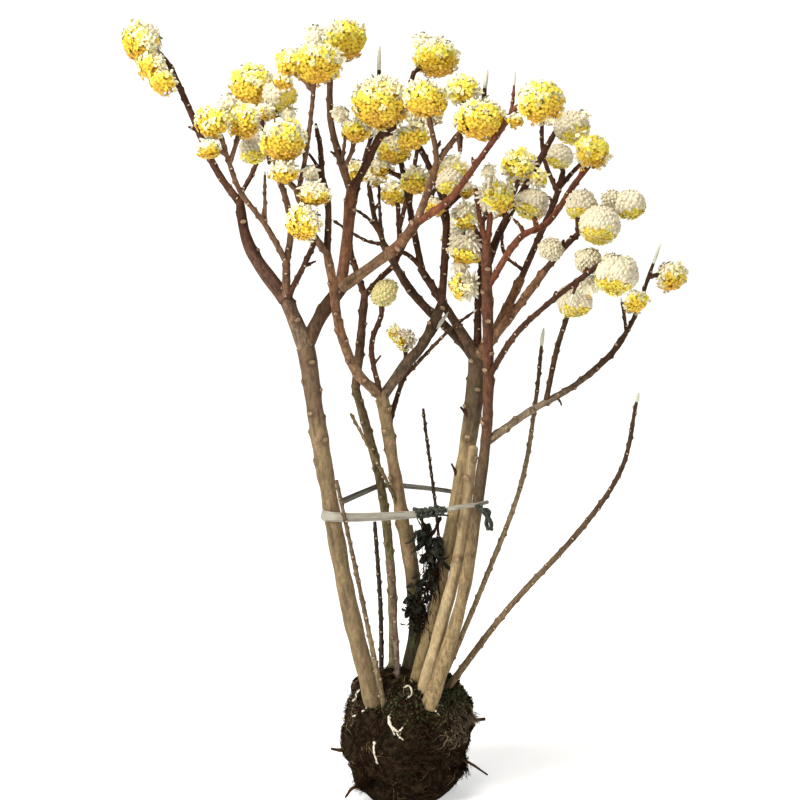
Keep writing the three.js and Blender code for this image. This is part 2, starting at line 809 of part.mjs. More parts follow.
/** How far lumps of soil push the root ball's side out, at an angle and a height. */
function soilLump(turn, height) {
  const waves = LUMP_WAVES.map(({ turns, lean, start }) => Math.sin(turns * turn + lean * height + start));
  return BALL_LUMP * waves.reduce((sum, wave) => sum + wave);
}

/** The root ball: a lumpy barrel of soil on a flat underside, with broken roots. */
function rootBall() {
  const profile = [
    new THREE.Vector2(0, 0),
    new THREE.Vector2(BALL_UNDERSIDE_RADIUS, 0),
    ...BALL_PROFILE.map(([height, radius]) =>
      new THREE.Vector2(radius * BALL_RADIUS, height * BALL_HEIGHT)
    ),
    new THREE.Vector2(0, BALL_HEIGHT),
  ];
  const geometry = new THREE.LatheGeometry(profile, BALL_SIDES);
  geometry.rotateX(Math.PI / 2);
  const position = geometry.attributes.position;
  for (let i = 0; i < position.count; i++) {
    const [x, y, z] = [position.getX(i), position.getY(i), position.getZ(i)];
    const radius = Math.hypot(x, y);
    const turn = Math.atan2(y, x);
    const share = radius / BALL_RADIUS;
    const flat = z < FLAT_WITHIN;
    const lump = flat ? 0 : soilLump(turn, z) * share;
    const scale = radius > 0 ? 1 + lump / radius : 1;
    const rise = flat ? 0 : z + (1 - share) * soilLump(turn, 0) * share;
    position.setXYZ(i, x * scale, y * scale, rise);
  }
  return fused([solidOf(geometry), ...BROKEN_ROOTS.map(brokenRoot)]);
}

/** A broken root that stands out of the root ball's side. */
function brokenRoot({ turn, height, reach, girth, drop }) {
  const angle = THREE.MathUtils.degToRad(turn);
  const out = new THREE.Vector3(Math.cos(angle), Math.sin(angle), 0);
  const at = (distance, up) => out.clone().multiplyScalar(distance).setZ(up);
  const path = new THREE.CatmullRomCurve3(
    [
      at(BALL_RADIUS * ROOT_START, height),
      at(BALL_RADIUS * ROOT_EXIT, height),
      at(BALL_RADIUS + reach, height + drop),
    ],
    false,
    "catmullrom",
    0.5
  );
  return limbSolid(path, (t) => girth * (1 - ROOT_TAPER * t), ROOT_SIDES, ROOT_RING_SPACING, 0);
}

/** The finish of a stem or bough: tan at the foot, red on the young wood of the crown. */
function barkOf(name) {
  if (name === "stem_left" || name.startsWith("trunk")) return BARK.grey;
  return name.startsWith("stem") || name.startsWith("shoot") ? BARK.tan : BARK.red;
}

// Every piece in the order in which it is set in, with the function that makes it.
const PIECES = [
  ...Object.keys(LIMBS).map((name) => [name, (grow) => limb(name, grow), barkOf(name)]),
  ...Object.keys(SPRAYS).map((name) => [name, (grow) => spray(name, grow), BLOSSOM]),
  ...Object.entries(TIE_STRIPS).map(([name, tape]) => [name, (grow) => strip(tape, grow), TAPE]),
  ["tie_knot", knot, TAPE],
  ["tie_tag", tag, WITHERED],
  ["withered_tangle", tangle, WITHERED],
  ["root_ball", rootBall, SOIL],
];

/** Whether two solids' boxes meet. */
function boxesMeet(one, other) {
  const [a, b] = [one.boundingBox(), other.boundingBox()];
  return [0, 1, 2].every((axis) => a.min[axis] < b.max[axis] && b.min[axis] < a.max[axis]);
}

const plant = new THREE.Group();
plant.name = "paperbush";
const seated = [];
for (const [name, make, finish] of PIECES) {
  const whole = make(0);
  const cut = seated
    .filter((other) => boxesMeet(other, whole))
    .reduce((left, other) => left.subtract(other), whole);
  const mesh = new THREE.Mesh(geometryOf(largest(cut)), new THREE.MeshStandardMaterial(finish));
  mesh.name = name;
  plant.add(mesh);
  seated.push(make(CLEARANCE));
}

export default plant;
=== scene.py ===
"""A paperbush in flower, lifted with its root ball and tied together, dressed for rendering.

The plant stands on the flat underside of its root ball, at the origin. Many stems fork by threes
into bare shoots that end in nodding round heads of blossom. Everything grows in millimetres, by
the same tables and the same seeded rule as the plant's solids, and is turned to metres last.
"""

import logging
import math
from collections.abc import Iterable
from dataclasses import dataclass, field
from enum import Enum
from functools import cache

import bpy
import numpy as np
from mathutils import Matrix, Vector


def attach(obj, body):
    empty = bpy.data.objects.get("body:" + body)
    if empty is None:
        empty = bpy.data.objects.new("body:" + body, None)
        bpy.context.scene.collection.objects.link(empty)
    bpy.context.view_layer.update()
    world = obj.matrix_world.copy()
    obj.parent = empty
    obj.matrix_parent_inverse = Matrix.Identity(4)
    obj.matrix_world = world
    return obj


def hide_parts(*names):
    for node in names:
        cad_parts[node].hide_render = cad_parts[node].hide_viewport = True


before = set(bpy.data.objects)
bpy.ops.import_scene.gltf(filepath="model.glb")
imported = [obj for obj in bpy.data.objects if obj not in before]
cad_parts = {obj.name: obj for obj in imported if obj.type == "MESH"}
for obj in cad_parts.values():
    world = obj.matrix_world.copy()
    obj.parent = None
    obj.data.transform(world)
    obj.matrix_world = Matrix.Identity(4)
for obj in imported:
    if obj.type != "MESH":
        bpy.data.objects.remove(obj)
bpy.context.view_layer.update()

log = logging.getLogger("paperbush")

MM = 0.001
TAU = 2 * math.pi
GOLDEN_TURN = math.radians(137.5)

# Where the plant is looked at from. Every place in the tables is (across, up, depth): how far
# right and how far up it is seen from the origin, and how far behind the origin it lies.
VIEW_TILT = math.radians(10)
VIEW_DISTANCE = 2500
VIEW_MIDDLE = (-6, 0, 492)
CAMERA_LENS = 93.75
CAMERA_SENSOR = 36

# How far a way rises before it is too steep to be turned round the upright
STEEP = 0.8

# Forks and feet of limbs
FORK_OVERLAP = 0.45
ROOT_FLARE = 0.12
ROOT_FLARE_REACH = 0.16

# Shoots and spurs of a spray
SHOOT_GIRTH = (5.5, 4.6)
BARE_GIRTH = (4.2, 2.8)
SHOOT_KINK = 0.07
SPUR_LENGTH = (9, 16)
SPUR_GIRTH = (3.4, 2.2)
SPUR_SHARES = (0.35, 0.75)
SPURS_PER_SPRAY = 2
SPUR_TWIGS = 2
TIP_BUD = 26

# How a flower head sits: the share of its radius at which its shoot enters it, the depth behind
# which it faces away from the viewer, and how far its usual facing is aside, to the front and down
HEAD_ENTRY = 0.86
BACK_OF_CROWN = 55
HEAD_ASIDE = 0.6
HEAD_ASIDE_BY = 400
HEAD_FORWARD = 0.75
HEAD_DOWN = 0.55

Array = np.ndarray
Node = bpy.types.Node
Output = bpy.types.NodeSocket
Place = tuple[float, float, float]
Girth = tuple[float, ...]
Colour = tuple[float, float, float, float]


def colour(code: str) -> Colour:
    """The linear colour of a six-digit sRGB code."""
    parts = [int(code[i : i + 2], 16) / 255 for i in (0, 2, 4)]
    linear = [p / 12.92 if p <= 0.04045 else ((p + 0.055) / 1.055) ** 2.4 for p in parts]
    return (*linear, 1.0)


def unit(vectors: Array) -> Array:
    """Vectors, or one vector, made one long."""
    return vectors / np.maximum(np.linalg.norm(vectors, axis=-1, keepdims=True), 1e-9)


def smooth(values: Array) -> Array:
    """An even ease from 0 to 1 of values, which are clipped to that range first."""
    clipped = np.clip(values, 0, 1)
    return clipped * clipped * (3 - 2 * clipped)


def place(where: Place) -> Array:
    """The point of the plant, in millimetres, that is seen at a place of the tables."""
    across, up, depth = where
    sin, cos = math.sin(VIEW_TILT), math.cos(VIEW_TILT)
    middle_x, _, middle_z = VIEW_MIDDLE
    a = across / VIEW_DISTANCE - middle_x / (VIEW_DISTANCE + middle_z * sin)
    b = up / VIEW_DISTANCE - middle_z * cos / (VIEW_DISTANCE + middle_z * sin)
    rise = (b * (VIEW_DISTANCE + depth * cos) - depth * sin) / (cos + b * sin)
    span = VIEW_DISTANCE + depth * cos - rise * sin
    return np.array([middle_x + a * span, depth, middle_z + rise])


def points_at(places: Iterable[Place]) -> list[Array]:
    """The points of the plant at several places of the tables."""
    return [place(where) for where in places]


def blend(values: Girth, shares: Array | float) -> Array | float:
    """The values at shares of the way through a list of evenly spaced values."""
    return np.interp(shares, np.linspace(0, 1, len(values)), values)


def turns_round(sides: int) -> Array:
    """The angles of evenly spaced sides, in radians."""
    return np.arange(sides) * TAU / sides


def spokes(turn: Array, one: Array, other: Array) -> Array:
    """The ways at angles from one way towards another that is square to it."""
    return np.cos(turn)[..., None] * one + np.sin(turn)[..., None] * other


class Dice:
    """The seeded generator of numbers from 0 to 1 that the plant's solids grow by."""

    MASK = 0xFFFFFFFF

    def __init__(self, name: str) -> None:
        """Seeds the generator from a name."""
        self.state = name_seed(name)

    def roll(self) -> float:
        """The next number."""
        self.state = (self.state + 0x6D2B79F5) & self.MASK
        mixed = (self.state ^ (self.state >> 15)) * (self.state | 1) & self.MASK
        mixed ^= (mixed + ((mixed ^ (mixed >> 7)) * (mixed | 61) & self.MASK)) & self.MASK
        return (mixed ^ (mixed >> 14)) / (self.MASK + 1)


def name_seed(name: str) -> int:
    """A whole number worked out from a name."""
    total = 7
    for letter in name:
        total = (total * 31 + ord(letter)) % 65521
    return total


class Path:
    """A smooth curve through points, in millimetres, run evenly from point to point."""

    def __init__(self, points: list[Array]) -> None:
        """Keeps the points, with one more beyond each end."""
        inner = np.array(points, float)
        first, last = 2 * inner[0] - inner[1], 2 * inner[-1] - inner[-2]
        self.points = np.vstack([first, inner, last])
        steps = np.linalg.norm(np.diff(self.at(np.linspace(0, 1, 80)), axis=0), axis=1)
        self.length = float(steps.sum())

    def _spans(self, shares: Array) -> tuple[Array, list[Array]]:
        """How far along its span each share is, and the span's cubic terms."""
        count = len(self.points) - 3
        shares = np.atleast_1d(np.asarray(shares, float))
        first = np.clip(np.floor(shares * count).astype(int), 0, count - 1)
        p0, p1, p2, p3 = (self.points[first + k] for k in range(4))
        start, end = (p2 - p0) / 2, (p3 - p1) / 2
        terms = [p1, start, -3 * p1 + 3 * p2 - 2 * start - end, 2 * p1 - 2 * p2 + start + end]
        return (shares * count - first)[:, None], terms

    def at(self, shares: Array) -> Array:
        """The points at shares of the way."""
        step, terms = self._spans(shares)
        return terms[0] + step * (terms[1] + step * (terms[2] + step * terms[3]))

    def along(self, shares: Array) -> Array:
        """The directions of the curve at shares of the way."""
        step, terms = self._spans(shares)
        return unit(terms[1] + step * (2 * terms[2] + step * 3 * terms[3]))

    def spot(self, share: float) -> tuple[Array, Array]:
        """The point and the direction at one share of the way."""
        return self.at(share)[0], self.along(share)[0]


def frames(along: Array) -> tuple[Array, Array]:
    """The two directions square to each direction of a limb, which runs mostly upwards."""
    side = unit(np.cross(along, (0, 1, 0)))
    return side, np.cross(side, along)


def grid_quads(rows: int, columns: int, wraps: bool = False) -> Array:
    """The quads of a grid of corners, numbered row by row.

    Args:
        rows: How many rows of corners it has.
        columns: How many corners a row has.
        wraps: Whether each row's last corner joins its first.

    Returns:
        The corners of each quad.
    """
    row, column = np.meshgrid(np.arange(rows - 1), np.arange(columns - (not wraps)), indexing="ij")
    beside = (column + 1) % columns
    here, above = row * columns, (row + 1) * columns
    corners = [here + column, above + column, above + beside, here + beside]
    return np.stack(corners, -1).reshape(-1, 4)


class Shape:
    """Corners and faces in millimetres, gathered into one mesh."""

    def __init__(self, *values: str) -> None:
        """Starts empty, with the names of the values that each corner has."""
        self.corners: list[Array] = []
        self.faces: list[Array] = []
        self.values: dict[str, list[Array]] = {name: [] for name in values}
        self.count = 0

    def add(self, corners: Array, *faces: Array, **values: Array | float) -> None:
        """Adds corners, faces that number them from 0, and the values at the corners."""
        corners = corners.reshape(-1, 3)
        self.corners.append(corners)
        self.faces += [group + self.count for group in faces if len(group)]
        for name, kept in self.values.items():
            kept.append(np.broadcast_to(values[name], len(corners)))
        self.count += len(corners)

    def add_copies(self, corners: Array, *faces: Array, **values: Array) -> None:
        """Adds like shapes, as shape by corner by three, with the faces and values of the first."""
        count, stride = corners.shape[:2]
        step = (np.arange(count) * stride)[:, None, None]
        whole = [(group[None] + step).reshape(-1, group.shape[1]) for group in faces]
        self.add(corners, *whole, **{name: np.tile(value, count) for name, value in values.items()})

    def add_skin(self, rings: Array, ends: list, turned: bool = False, **values: Array | float) -> None:
        """Adds a skin over rings of corners.

        Args:
            rings: The corners, as ring by side by three.
            ends: The middle of its first end and of its last.
            turned: Whether its faces look the other way.
            values: The values of its corners.
        """
        corners = np.concatenate([rings.reshape(-1, 3), ends])
        faces = tube_faces(*rings.shape[:2])
        self.add(corners, *(group[:, ::-1] if turned else group for group in faces), **values)

    def add_tubes(self, points: Array, radii: Array, sides: int) -> None:
        """Adds many like tubes, closed at both ends.

        Args:
            points: The middle of each ring, as tube by ring by three.
            radii: The radius of each ring, as tube by ring, or tube by ring by side.
            sides: How many sides a tube has.
        """
        count, rings = points.shape[:2]
        along = unit(np.gradient(points, axis=1))
        whole = unit(points[:, -1] - points[:, 0])
        upright = np.abs(whole[:, 2:]) > STEEP
        side = unit(np.cross(along, np.where(upright, (0, 1, 0), (0, 0, 1))[:, None]))
        other = np.cross(side, along)
        out = spokes(turns_round(sides), side[:, :, None], other[:, :, None])
        spread = radii if radii.ndim == 3 else radii[:, :, None]
        ring = points[:, :, None] + spread[..., None] * out
        corners = np.concatenate([ring.reshape(count, rings * sides, 3), points[:, [0, -1]]], 1)
        self.add_copies(corners, *tube_faces(rings, sides))

    def add_tube(self, points: Array, radii: Array, sides: int) -> None:
        """Adds one tube, closed at both ends."""
        self.add_tubes(points[None], radii[None], sides)

    def build(self, name: str, finish: bpy.types.Material) -> bpy.types.Object:
        """Makes the object.

        Args:
            name: The object's name.
            finish: Its material.

        Returns:
            The object, smooth shaded and in metres, linked to the scene.
        """
        mesh = bpy.data.meshes.new(name)
        corners = np.concatenate(self.corners) * MM
        sizes = np.concatenate([np.full(len(group), group.shape[1]) for group in self.faces])
        numbers = np.concatenate([group.ravel() for group in self.faces])
        mesh.vertices.add(len(corners))
        mesh.vertices.foreach_set("co", corners.astype(np.float32).ravel())
        mesh.loops.add(len(numbers))
        mesh.loops.foreach_set("vertex_index", numbers.astype(np.int32))
        mesh.polygons.add(len(sizes))
        mesh.polygons.foreach_set("loop_start", (np.cumsum(sizes) - sizes).astype(np.int32))
        mesh.update(calc_edges=True)
        for value, kept in self.values.items():
            layer = mesh.attributes.new(value, "FLOAT", "POINT")
            layer.data.foreach_set("value", np.concatenate(kept).astype(np.float32))
        mesh.validate()
        mesh.shade_smooth()
        mesh.materials.append(finish)
        made = bpy.data.objects.new(name, mesh)
        bpy.context.scene.collection.objects.link(made)
        return made


def tube_faces(rings: int, sides: int) -> tuple[Array, Array]:
    """The side quads and end triangles of a tube whose last two corners are its ends' middles."""
    quads = grid_quads(rings, sides, wraps=True)
    here = np.arange(sides)
    beside = (here + 1) % sides
    foot, tip = rings * sides, rings * sides + 1
    last = (rings - 1) * sides
    start = np.stack([np.full(sides, foot), here, beside], -1)
    end = np.stack([np.full(sides, tip), last + beside, last + here], -1)
    return quads, np.concatenate([start, end])


# Shader graphs


class Wiring:
    """A node tree that is being wired."""

    def __init__(self, tree: bpy.types.NodeTree) -> None:
        """Keeps the tree."""
        self.tree = tree

    def add(self, kind: str, feeds: dict | None = None, **settings: object) -> Node:
        """Adds a node.

        Args:
            kind: The node's type, without the word ShaderNode before it.
            feeds: A value or an output for each named or numbered input.
            settings: The node's own settings.

        Returns:
            The node.
        """
        node = self.tree.nodes.new("ShaderNode" + kind)
        for name, value in settings.items():
            setattr(node, name, value)
        self.feed(node, feeds or {})
        return node

    def feed(self, node: Node, feeds: dict) -> None:
        """Joins outputs to a node's named or numbered inputs, or sets these to values or colours."""
        for name, value in feeds.items():
            if isinstance(value, Output):
                self.tree.links.new(value, node.inputs[name])
            else:
                node.inputs[name].default_value = colour(value) if isinstance(value, str) else value

    def noise(self, scale: float, detail: float, tall: float = 1, wide: float = 1) -> Output:
        """A cloudy pattern from 0 to 1 over the object, drawn out where tall or wide is small."""
        where = self.add("TexCoord").outputs["Object"]
        placed = self.add("Mapping", {"Vector": where, "Scale": (wide, wide, tall)}).outputs["Vector"]
        feeds = {"Vector": placed, "Scale": scale, "Detail": detail, "Roughness": 0.6}
        return self.add("TexNoise", feeds).outputs["Fac"]

    def band(self, value: object, low: object, high: object) -> Output:
        """0 where a value is under low and 1 where it is over high, with a smooth rise between."""
        feeds = {"Value": value, "From Min": low, "From Max": high}
        return self.add("MapRange", feeds, interpolation_type="SMOOTHSTEP").outputs["Result"]

    def span(self, value: object, low: object, high: object) -> Output:
        """A value from 0 to 1 stretched to run from low to high."""
        return self.add("MapRange", {"Value": value, "To Min": low, "To Max": high}).outputs["Result"]

    def math(self, action: str, one: object, other: object) -> Output:
        """A sum, difference or the like of two values."""
        return self.add("Math", {0: one, 1: other}, operation=action).outputs["Value"]

    def times(self, one: object, other: object) -> Output:
        """The product of two values."""
        return self.math("MULTIPLY", one, other)

    def mix(self, share: object, one: object, other: object, way: str = "MIX") -> Output:
        """One colour mixed into another by a share."""
        return self.add("Mix", {0: share, 6: one, 7: other}, data_type="RGBA", blend_type=way).outputs[2]

    def value(self, name: str) -> Output:
        """A value that the mesh's corners hold."""
        return self.add("Attribute", attribute_name=name).outputs["Fac"]

    def bump(self, height: object, depth: float, much: float) -> Output:
        """The normal of a height that is as deep as depth, in metres."""
        feeds = {"Height": height, "Distance": depth, "Strength": much}
        return self.add("Bump", feeds).outputs["Normal"]


class Effects:
    """Node groups that more than one material uses, each built once."""

    @staticmethod
    def group(name: str, colours: tuple[str, ...], values: dict[str, float]) -> tuple:
        """Starts a group that puts out a colour and a height for bump.

        Args:
            name: Its name.
            colours: The names of its colour inputs.
            values: The usual value of each of its plain inputs, by name.

        Returns:
            Its wiring, its inputs' sockets by name, and the node that takes what it puts out.
        """
        tree = bpy.data.node_groups.new(name, "ShaderNodeTree")
        sockets = [(label, "INPUT", "NodeSocketColor") for label in colours]
        sockets += [(label, "INPUT", "NodeSocketFloat") for label in values]
        sockets += [("Color", "OUTPUT", "NodeSocketColor"), ("Height", "OUTPUT", "NodeSocketFloat")]
        for label, way, kind in sockets:
            socket = tree.interface.new_socket(label, in_out=way, socket_type=kind)
            if label in values:
                socket.default_value = values[label]
        return Wiring(tree), tree.nodes.new("NodeGroupInput").outputs, tree.nodes.new("NodeGroupOutput")

    @staticmethod
    @cache
    def grain() -> bpy.types.NodeTree:
        """Bark: light and dark mottling, with streaks and flecks of another colour, and painted shade of it
        in the creases.
        """
        usual = {"Crease": 0.0, "Flecks": 0.5, "Mottle": 1.0}
        wires, given, out = Effects.group("bark_grain", ("Base", "Fleck"), usual)
        streaks = wires.noise(420.0, 6, 0.3)
        spots = wires.noise(1100.0, 3, 0.8)
        dark = wires.times(wires.band(streaks, 0.56, 0.34), given["Flecks"])
        tinted = wires.mix(dark, given["Base"], given["Fleck"])
        clouds = wires.span(wires.band(wires.noise(70.0, 4, 0.6), 0.34, 0.66), 0.84, 1.2)
        mottles = wires.span(wires.band(wires.noise(230.0, 3, 0.5), 0.36, 0.66), 0.76, 1.3)
        fine = wires.span(wires.band(spots, 0.32, 0.68), 0.78, 1.24)
        light = wires.times(wires.times(clouds, mottles), fine)
        shade = wires.add("CombineColor", dict.fromkeys(range(3), light)).outputs[0]
        shaded = wires.mix(given["Mottle"], tinted, shade, "MULTIPLY")
        speckles = wires.times(wires.band(spots, 0.56, 0.7), 0.4)
        speckled = wires.mix(speckles, shaded, given["Fleck"])
        dashes = wires.times(wires.band(wires.noise(210.0, 2, 3.2), 0.6, 0.7), given["Flecks"])
        dashed = wires.mix(dashes, speckled, given["Fleck"])
        # Painted shade: the fleck colour laid into the furrows and round the leaf scars, as deep as the
        # crease value.
        crease_shaded = wires.mix(wires.times(given["Crease"], 0.6), dashed, given["Fleck"])
        height = wires.math("ADD", streaks, wires.times(spots, 0.4))
        wires.feed(out, {"Color": crease_shaded, "Height": height})
        return wires.tree

    @staticmethod
    @cache
    def silk() -> bpy.types.NodeTree:
        """Silky down: a colour that thins to a shade beneath, with a height of fine hairs."""
        usual = {"Cover": 0.5, "Specks": 0.4}
        wires, given, out = Effects.group("silky_down", ("Down", "Beneath"), usual)
        tufts = wires.noise(420.0, 3)
        low = wires.math("SUBTRACT", given["Cover"], 0.22)
        bare = wires.mix(wires.band(tufts, low, given["Cover"]), given["Beneath"], given["Down"])
        dotted = wires.times(wires.band(wires.noise(800.0, 2), 0.6, 0.7), given["Specks"])
        height = wires.math("ADD", wires.noise(1700.0, 3, 0.4), wires.times(tufts, 0.5))
        wires.feed(out, {"Color": wires.mix(dotted, bare, "7F7C5C"), "Height": height})
        return wires.tree


class Finish:
    """A way to make a material around one Principled shader."""

    name: str

    def dress(self, wires: Wiring, shader: Node) -> None:
        """Wires the material's pattern into its shader."""
        raise NotImplementedError

    def material(self) -> bpy.types.Material:
        """The material, made when it is first asked for."""
        ready = bpy.data.materials.get(self.name)
        if ready:
            return ready
        made = bpy.data.materials.new(self.name)
        made.use_nodes = True
        self.dress(Wiring(made.node_tree), made.node_tree.nodes["Principled BSDF"])
        return made


@dataclass(frozen=True)
class Bark(Finish):
    """The bark of a limb, which changes from a lower to an upper colour part of the way up.

    The change is at the share turn_at of the length and takes the share turn_over. A foot colour
    is that of the bark below the share foot_to.
    """

    name: str
    low: str
    high: str
    fleck: str
    turn_at: float = 0.5
    turn_over: float = 0.5
    flecks: float = 0.5
    moss: float = 0
    mottle: float = 1
    foot: str = ""
    foot_to: float = 0.3
    foot_blur: float = 0.08
    depth: float = 0.0008
    roughness: float = 0.75
    gloss: float = 0.12

    def dress(self, wires: Wiring, shader: Node) -> None:
        """Mixes the two colours along the limb, then adds grain, moss and bump."""
        edge = wires.span(wires.noise(70.0, 2, 0.5), -0.12, 0.12)
        height = wires.math("ADD", wires.value("share"), edge)
        low, high = self.turn_at - self.turn_over / 2, self.turn_at + self.turn_over / 2
        base = wires.mix(wires.band(height, low, high), self.low, self.high)
        if self.foot:
            above = wires.band(height, self.foot_to - self.foot_blur, self.foot_to + self.foot_blur)
            base = wires.mix(above, self.foot, base)
        # The crease value is painted shade in the furrows and round the leaf scars.
        feeds = {"Base": base, "Fleck": self.fleck, "Crease": wires.value("crease")}
        feeds |= {"Flecks": self.flecks, "Mottle": self.mottle}
        grain = wires.add("Group", feeds, node_tree=Effects.grain()).outputs
        shown = grain["Color"]
        if self.moss:
            cover = wires.times(wires.band(wires.noise(110.0, 5, 0.6), 0.5, 0.62), self.moss)
            shown = wires.mix(cover, shown, "5F6B3A")
        wires.feed(shader, {
            "Base Color": shown,
            "Roughness": wires.span(grain["Height"], self.roughness - 0.1, self.roughness + 0.12),
            "Specular IOR Level": self.gloss,
            "Normal": wires.bump(grain["Height"], self.depth, 0.8),
        })


@dataclass(frozen=True)
class Silk(Finish):
    """Silky down over a surface: the down's colour, what shows beneath, and how dense it is."""

    name: str
    down: str
    beneath: str
    cover: float = 0.5
    light_through: float = 0.12
    specks: float = 0.35

    def dress(self, wires: Wiring, shader: Node) -> None:
        """Lays the down over the surface, with a soft sheen."""
        feeds = {"Down": self.down, "Beneath": self.beneath}
        feeds |= {"Cover": self.cover, "Specks": self.specks}
        silk = wires.add("Group", feeds, node_tree=Effects.silk()).outputs
        wires.feed(shader, {
            "Base Color": silk["Color"],
            "Roughness": 0.62,
            "Sheen Weight": 0.15,
            "Sheen Roughness": 0.45,
            "Subsurface Weight": self.light_through,
            "Subsurface Scale": 0.003,
            "Specular IOR Level": 0.3,
            "Normal": wires.bump(silk["Height"], 0.0003, 0.5),
        })


@dataclass(frozen=True)
class Petal(Finish):
    """The waxy inner face of the florets' lobes."""

    name: str
    bright: str
    deep: str
    edge: str = "F3ECC6"
    edging: float = 0.55

    def dress(self, wires: Wiring, shader: Node) -> None:
        """Clouds the bright colour with the deep one, deepens the throat and pales the edges."""
        clouds = wires.noise(160.0, 3)
        deep = wires.times(wires.band(clouds, 0.46, 0.66), 0.5)
        throat = wires.times(wires.band(wires.value("reach"), 0.4, 0.0), 0.75)
        inner = wires.mix(wires.math("MAXIMUM", deep, throat), self.bright, self.deep)
        ragged = wires.math("ADD", wires.value("rim"), wires.span(clouds, -0.3, 0.3))
        rim = wires.times(wires.band(ragged, 0.55, 1.1), self.edging)
        fine = wires.noise(900.0, 2)
        wires.feed(shader, {
            "Base Color": wires.mix(rim, inner, self.edge),
            "Roughness": wires.span(fine, 0.38, 0.58),
            "Subsurface Weight": 0.15,
            "Subsurface Scale": 0.003,
            "Specular IOR Level": 0.35,
            "Normal": wires.bump(fine, 0.0002, 0.4),
        })


@dataclass(frozen=True)
class Matter(Finish):
    """A plain cloudy stuff in two colours, such as soil, moss, roots or dead leaves."""

    name: str
    one: str
    other: str
    scale: float = 160
    roughness: float = 0.85
    depth: float = 0.0008
    gloss: float = 0.3

    def dress(self, wires: Wiring, shader: Node) -> None:
        """Clouds one colour with the other and roughens the surface."""
        clouds = wires.noise(self.scale, 6)
        wires.feed(shader, {
            "Base Color": wires.mix(wires.band(clouds, 0.4, 0.62), self.one, self.other),
            "Roughness": wires.span(clouds, self.roughness - 0.12, min(1, self.roughness + 0.1)),
            "Specular IOR Level": self.gloss,
            "Normal": wires.bump(clouds, self.depth, 0.8),
        })


@dataclass(frozen=True)
class Paper(Finish):
    """White backdrop paper with a faint grain, lit a little from behind."""

    name: str = "backdrop_paper"
    glow: float = 0.45

    def dress(self, wires: Wiring, shader: Node) -> None:
        """Grains the paper."""
        grain = wires.noise(220.0, 3)
        wires.feed(shader, {
            "Base Color": wires.mix(grain, "FAFAF8", "F4F4F2"),
            "Roughness": wires.span(grain, 0.85, 0.95),
            "Specular IOR Level": 0.0,
            "Emission Color": (1, 1, 1, 1),
            "Emission Strength": self.glow,
        })


@dataclass(frozen=True)
class Tape(Finish):
    """Flat pale packing tape with fine lines along it."""

    name: str = "packing_tape"
    light: str = "A19B8A"
    line: str = "6E6A5E"

    def dress(self, wires: Wiring, shader: Node) -> None:
        """Draws lines along the tape and dirties it in patches."""
        lines = wires.noise(1300.0, 3, wide=0.03)
        clouds = wires.noise(60.0, 3)
        lined = wires.mix(wires.band(lines, 0.52, 0.66), self.light, self.line)
        dirt = wires.times(wires.band(clouds, 0.52, 0.72), 0.4)
        wires.feed(shader, {
            "Base Color": wires.mix(dirt, lined, "77715F"),
            "Roughness": wires.span(clouds, 0.28, 0.5),
            "Subsurface Weight": 0.08,
            "Subsurface Scale": 0.002,
            "Normal": wires.bump(lines, 0.0004, 0.6),
        })


# What the bark of old stems, of limbs and of young shoots has in common
OLD = {"flecks": 0.34, "mottle": 0.5, "depth": 0.0016}
SMOOTH = {"flecks": 0.45, "roughness": 0.68}
YOUNG = {"flecks": 0.4, "depth": 0.0005}

# Bark finishes, from the old stems to the young shoots
OLD_LEFT = Bark("bark_old_left", "887455", "715C46", "40312A", 0.74, 0.1, **OLD)
OLD_RIGHT = Bark("bark_old_right", "98825E", "5E4C3A", "3A2E22", 0.73, 0.12, moss=0.22, **OLD)
TWIN = Bark("bark_twin", "AF9A74", "A08A68", "55432F", 0.6, 0.3, flecks=0.3, mottle=0.5)
RED_STEM = Bark(
    "bark_red_stem", "5C4C38", "6A4532", "38241C", 0.66, 0.3, mottle=0.6, foot="96805C", foot_to=0.38
)
MIDDLE = Bark("bark_middle", "4C4432", "8F7556", "3A2E1E", 0.44, 0.18, flecks=0.35, moss=0.4, mottle=0.6)
BACK_LEFT = Bark("bark_back_left", "7E7450", "63533A", "352C1C", 0.5, 0.5, moss=0.3)
SLIM = Bark("bark_slim", "7C6C50", "66543F", "41342A", 0.5, 0.5)
DARK_THIN = Bark("bark_dark_thin", "3C332A", "43362B", "241D18", 0.5, 0.5)
RED_THIN = Bark("bark_red_thin", "8A776A", "7E6656", "3A2A20", 0.5, 0.5)
OLIVE_THIN = Bark("bark_olive_thin", "746E4C", "6B6345", "3E392A", 0.5, 0.5, moss=0.4)
SLENDER = Bark("bark_slender", "94805F", "4E3A28", "35271D", 0.62, 0.5, mottle=0.5)
ARCHING = Bark("bark_arching", "7C664C", "4A3426", "35271D", 0.45, 0.6, mottle=0.6)
CROSSING = Bark("bark_crossing", "6E5A40", "7C6848", "3A2E1E", 0.5, 0.5)
BOUGH = Bark("bark_bough", "7B6852", "695241", "35261C", 0.5, 0.7)
LIMB = Bark("bark_limb", "604637", "4C3022", "2A1912", 0.5, 0.7, **SMOOTH)
MIDDLE_LIMB = Bark("bark_middle_limb", "84694E", "7C5A40", "38261A", 0.4, 0.5)
RIGHT_LIMB = Bark("bark_right_limb", "5C4836", "523A2A", "2A1D14", 0.4, 0.6)
BOTTOM_LIMB = Bark("bark_bottom_limb", "8A7860", "46301F", "33241A", 0.5, 0.5)
OLIVE_LIMB = Bark("bark_olive_limb", "645240", "4C3C2A", "2A2016", 0.4, 0.6)
INNER_BOUGH = Bark("bark_inner_bough", "5C4634", "503826", "2A1C12", 0.5, 0.7)
UP_LIMB = Bark("bark_up_limb", "805A42", "70492F", "3A261A", 0.5, 0.7, **SMOOTH)
ARCH_LIMB = Bark("bark_arch_limb", "7E644A", "74523A", "3A261A", 0.5, 0.7)
PALE_LIMB = Bark("bark_pale_limb", "8C6A4E", "7C583C", "38271A", 0.4, 0.6)
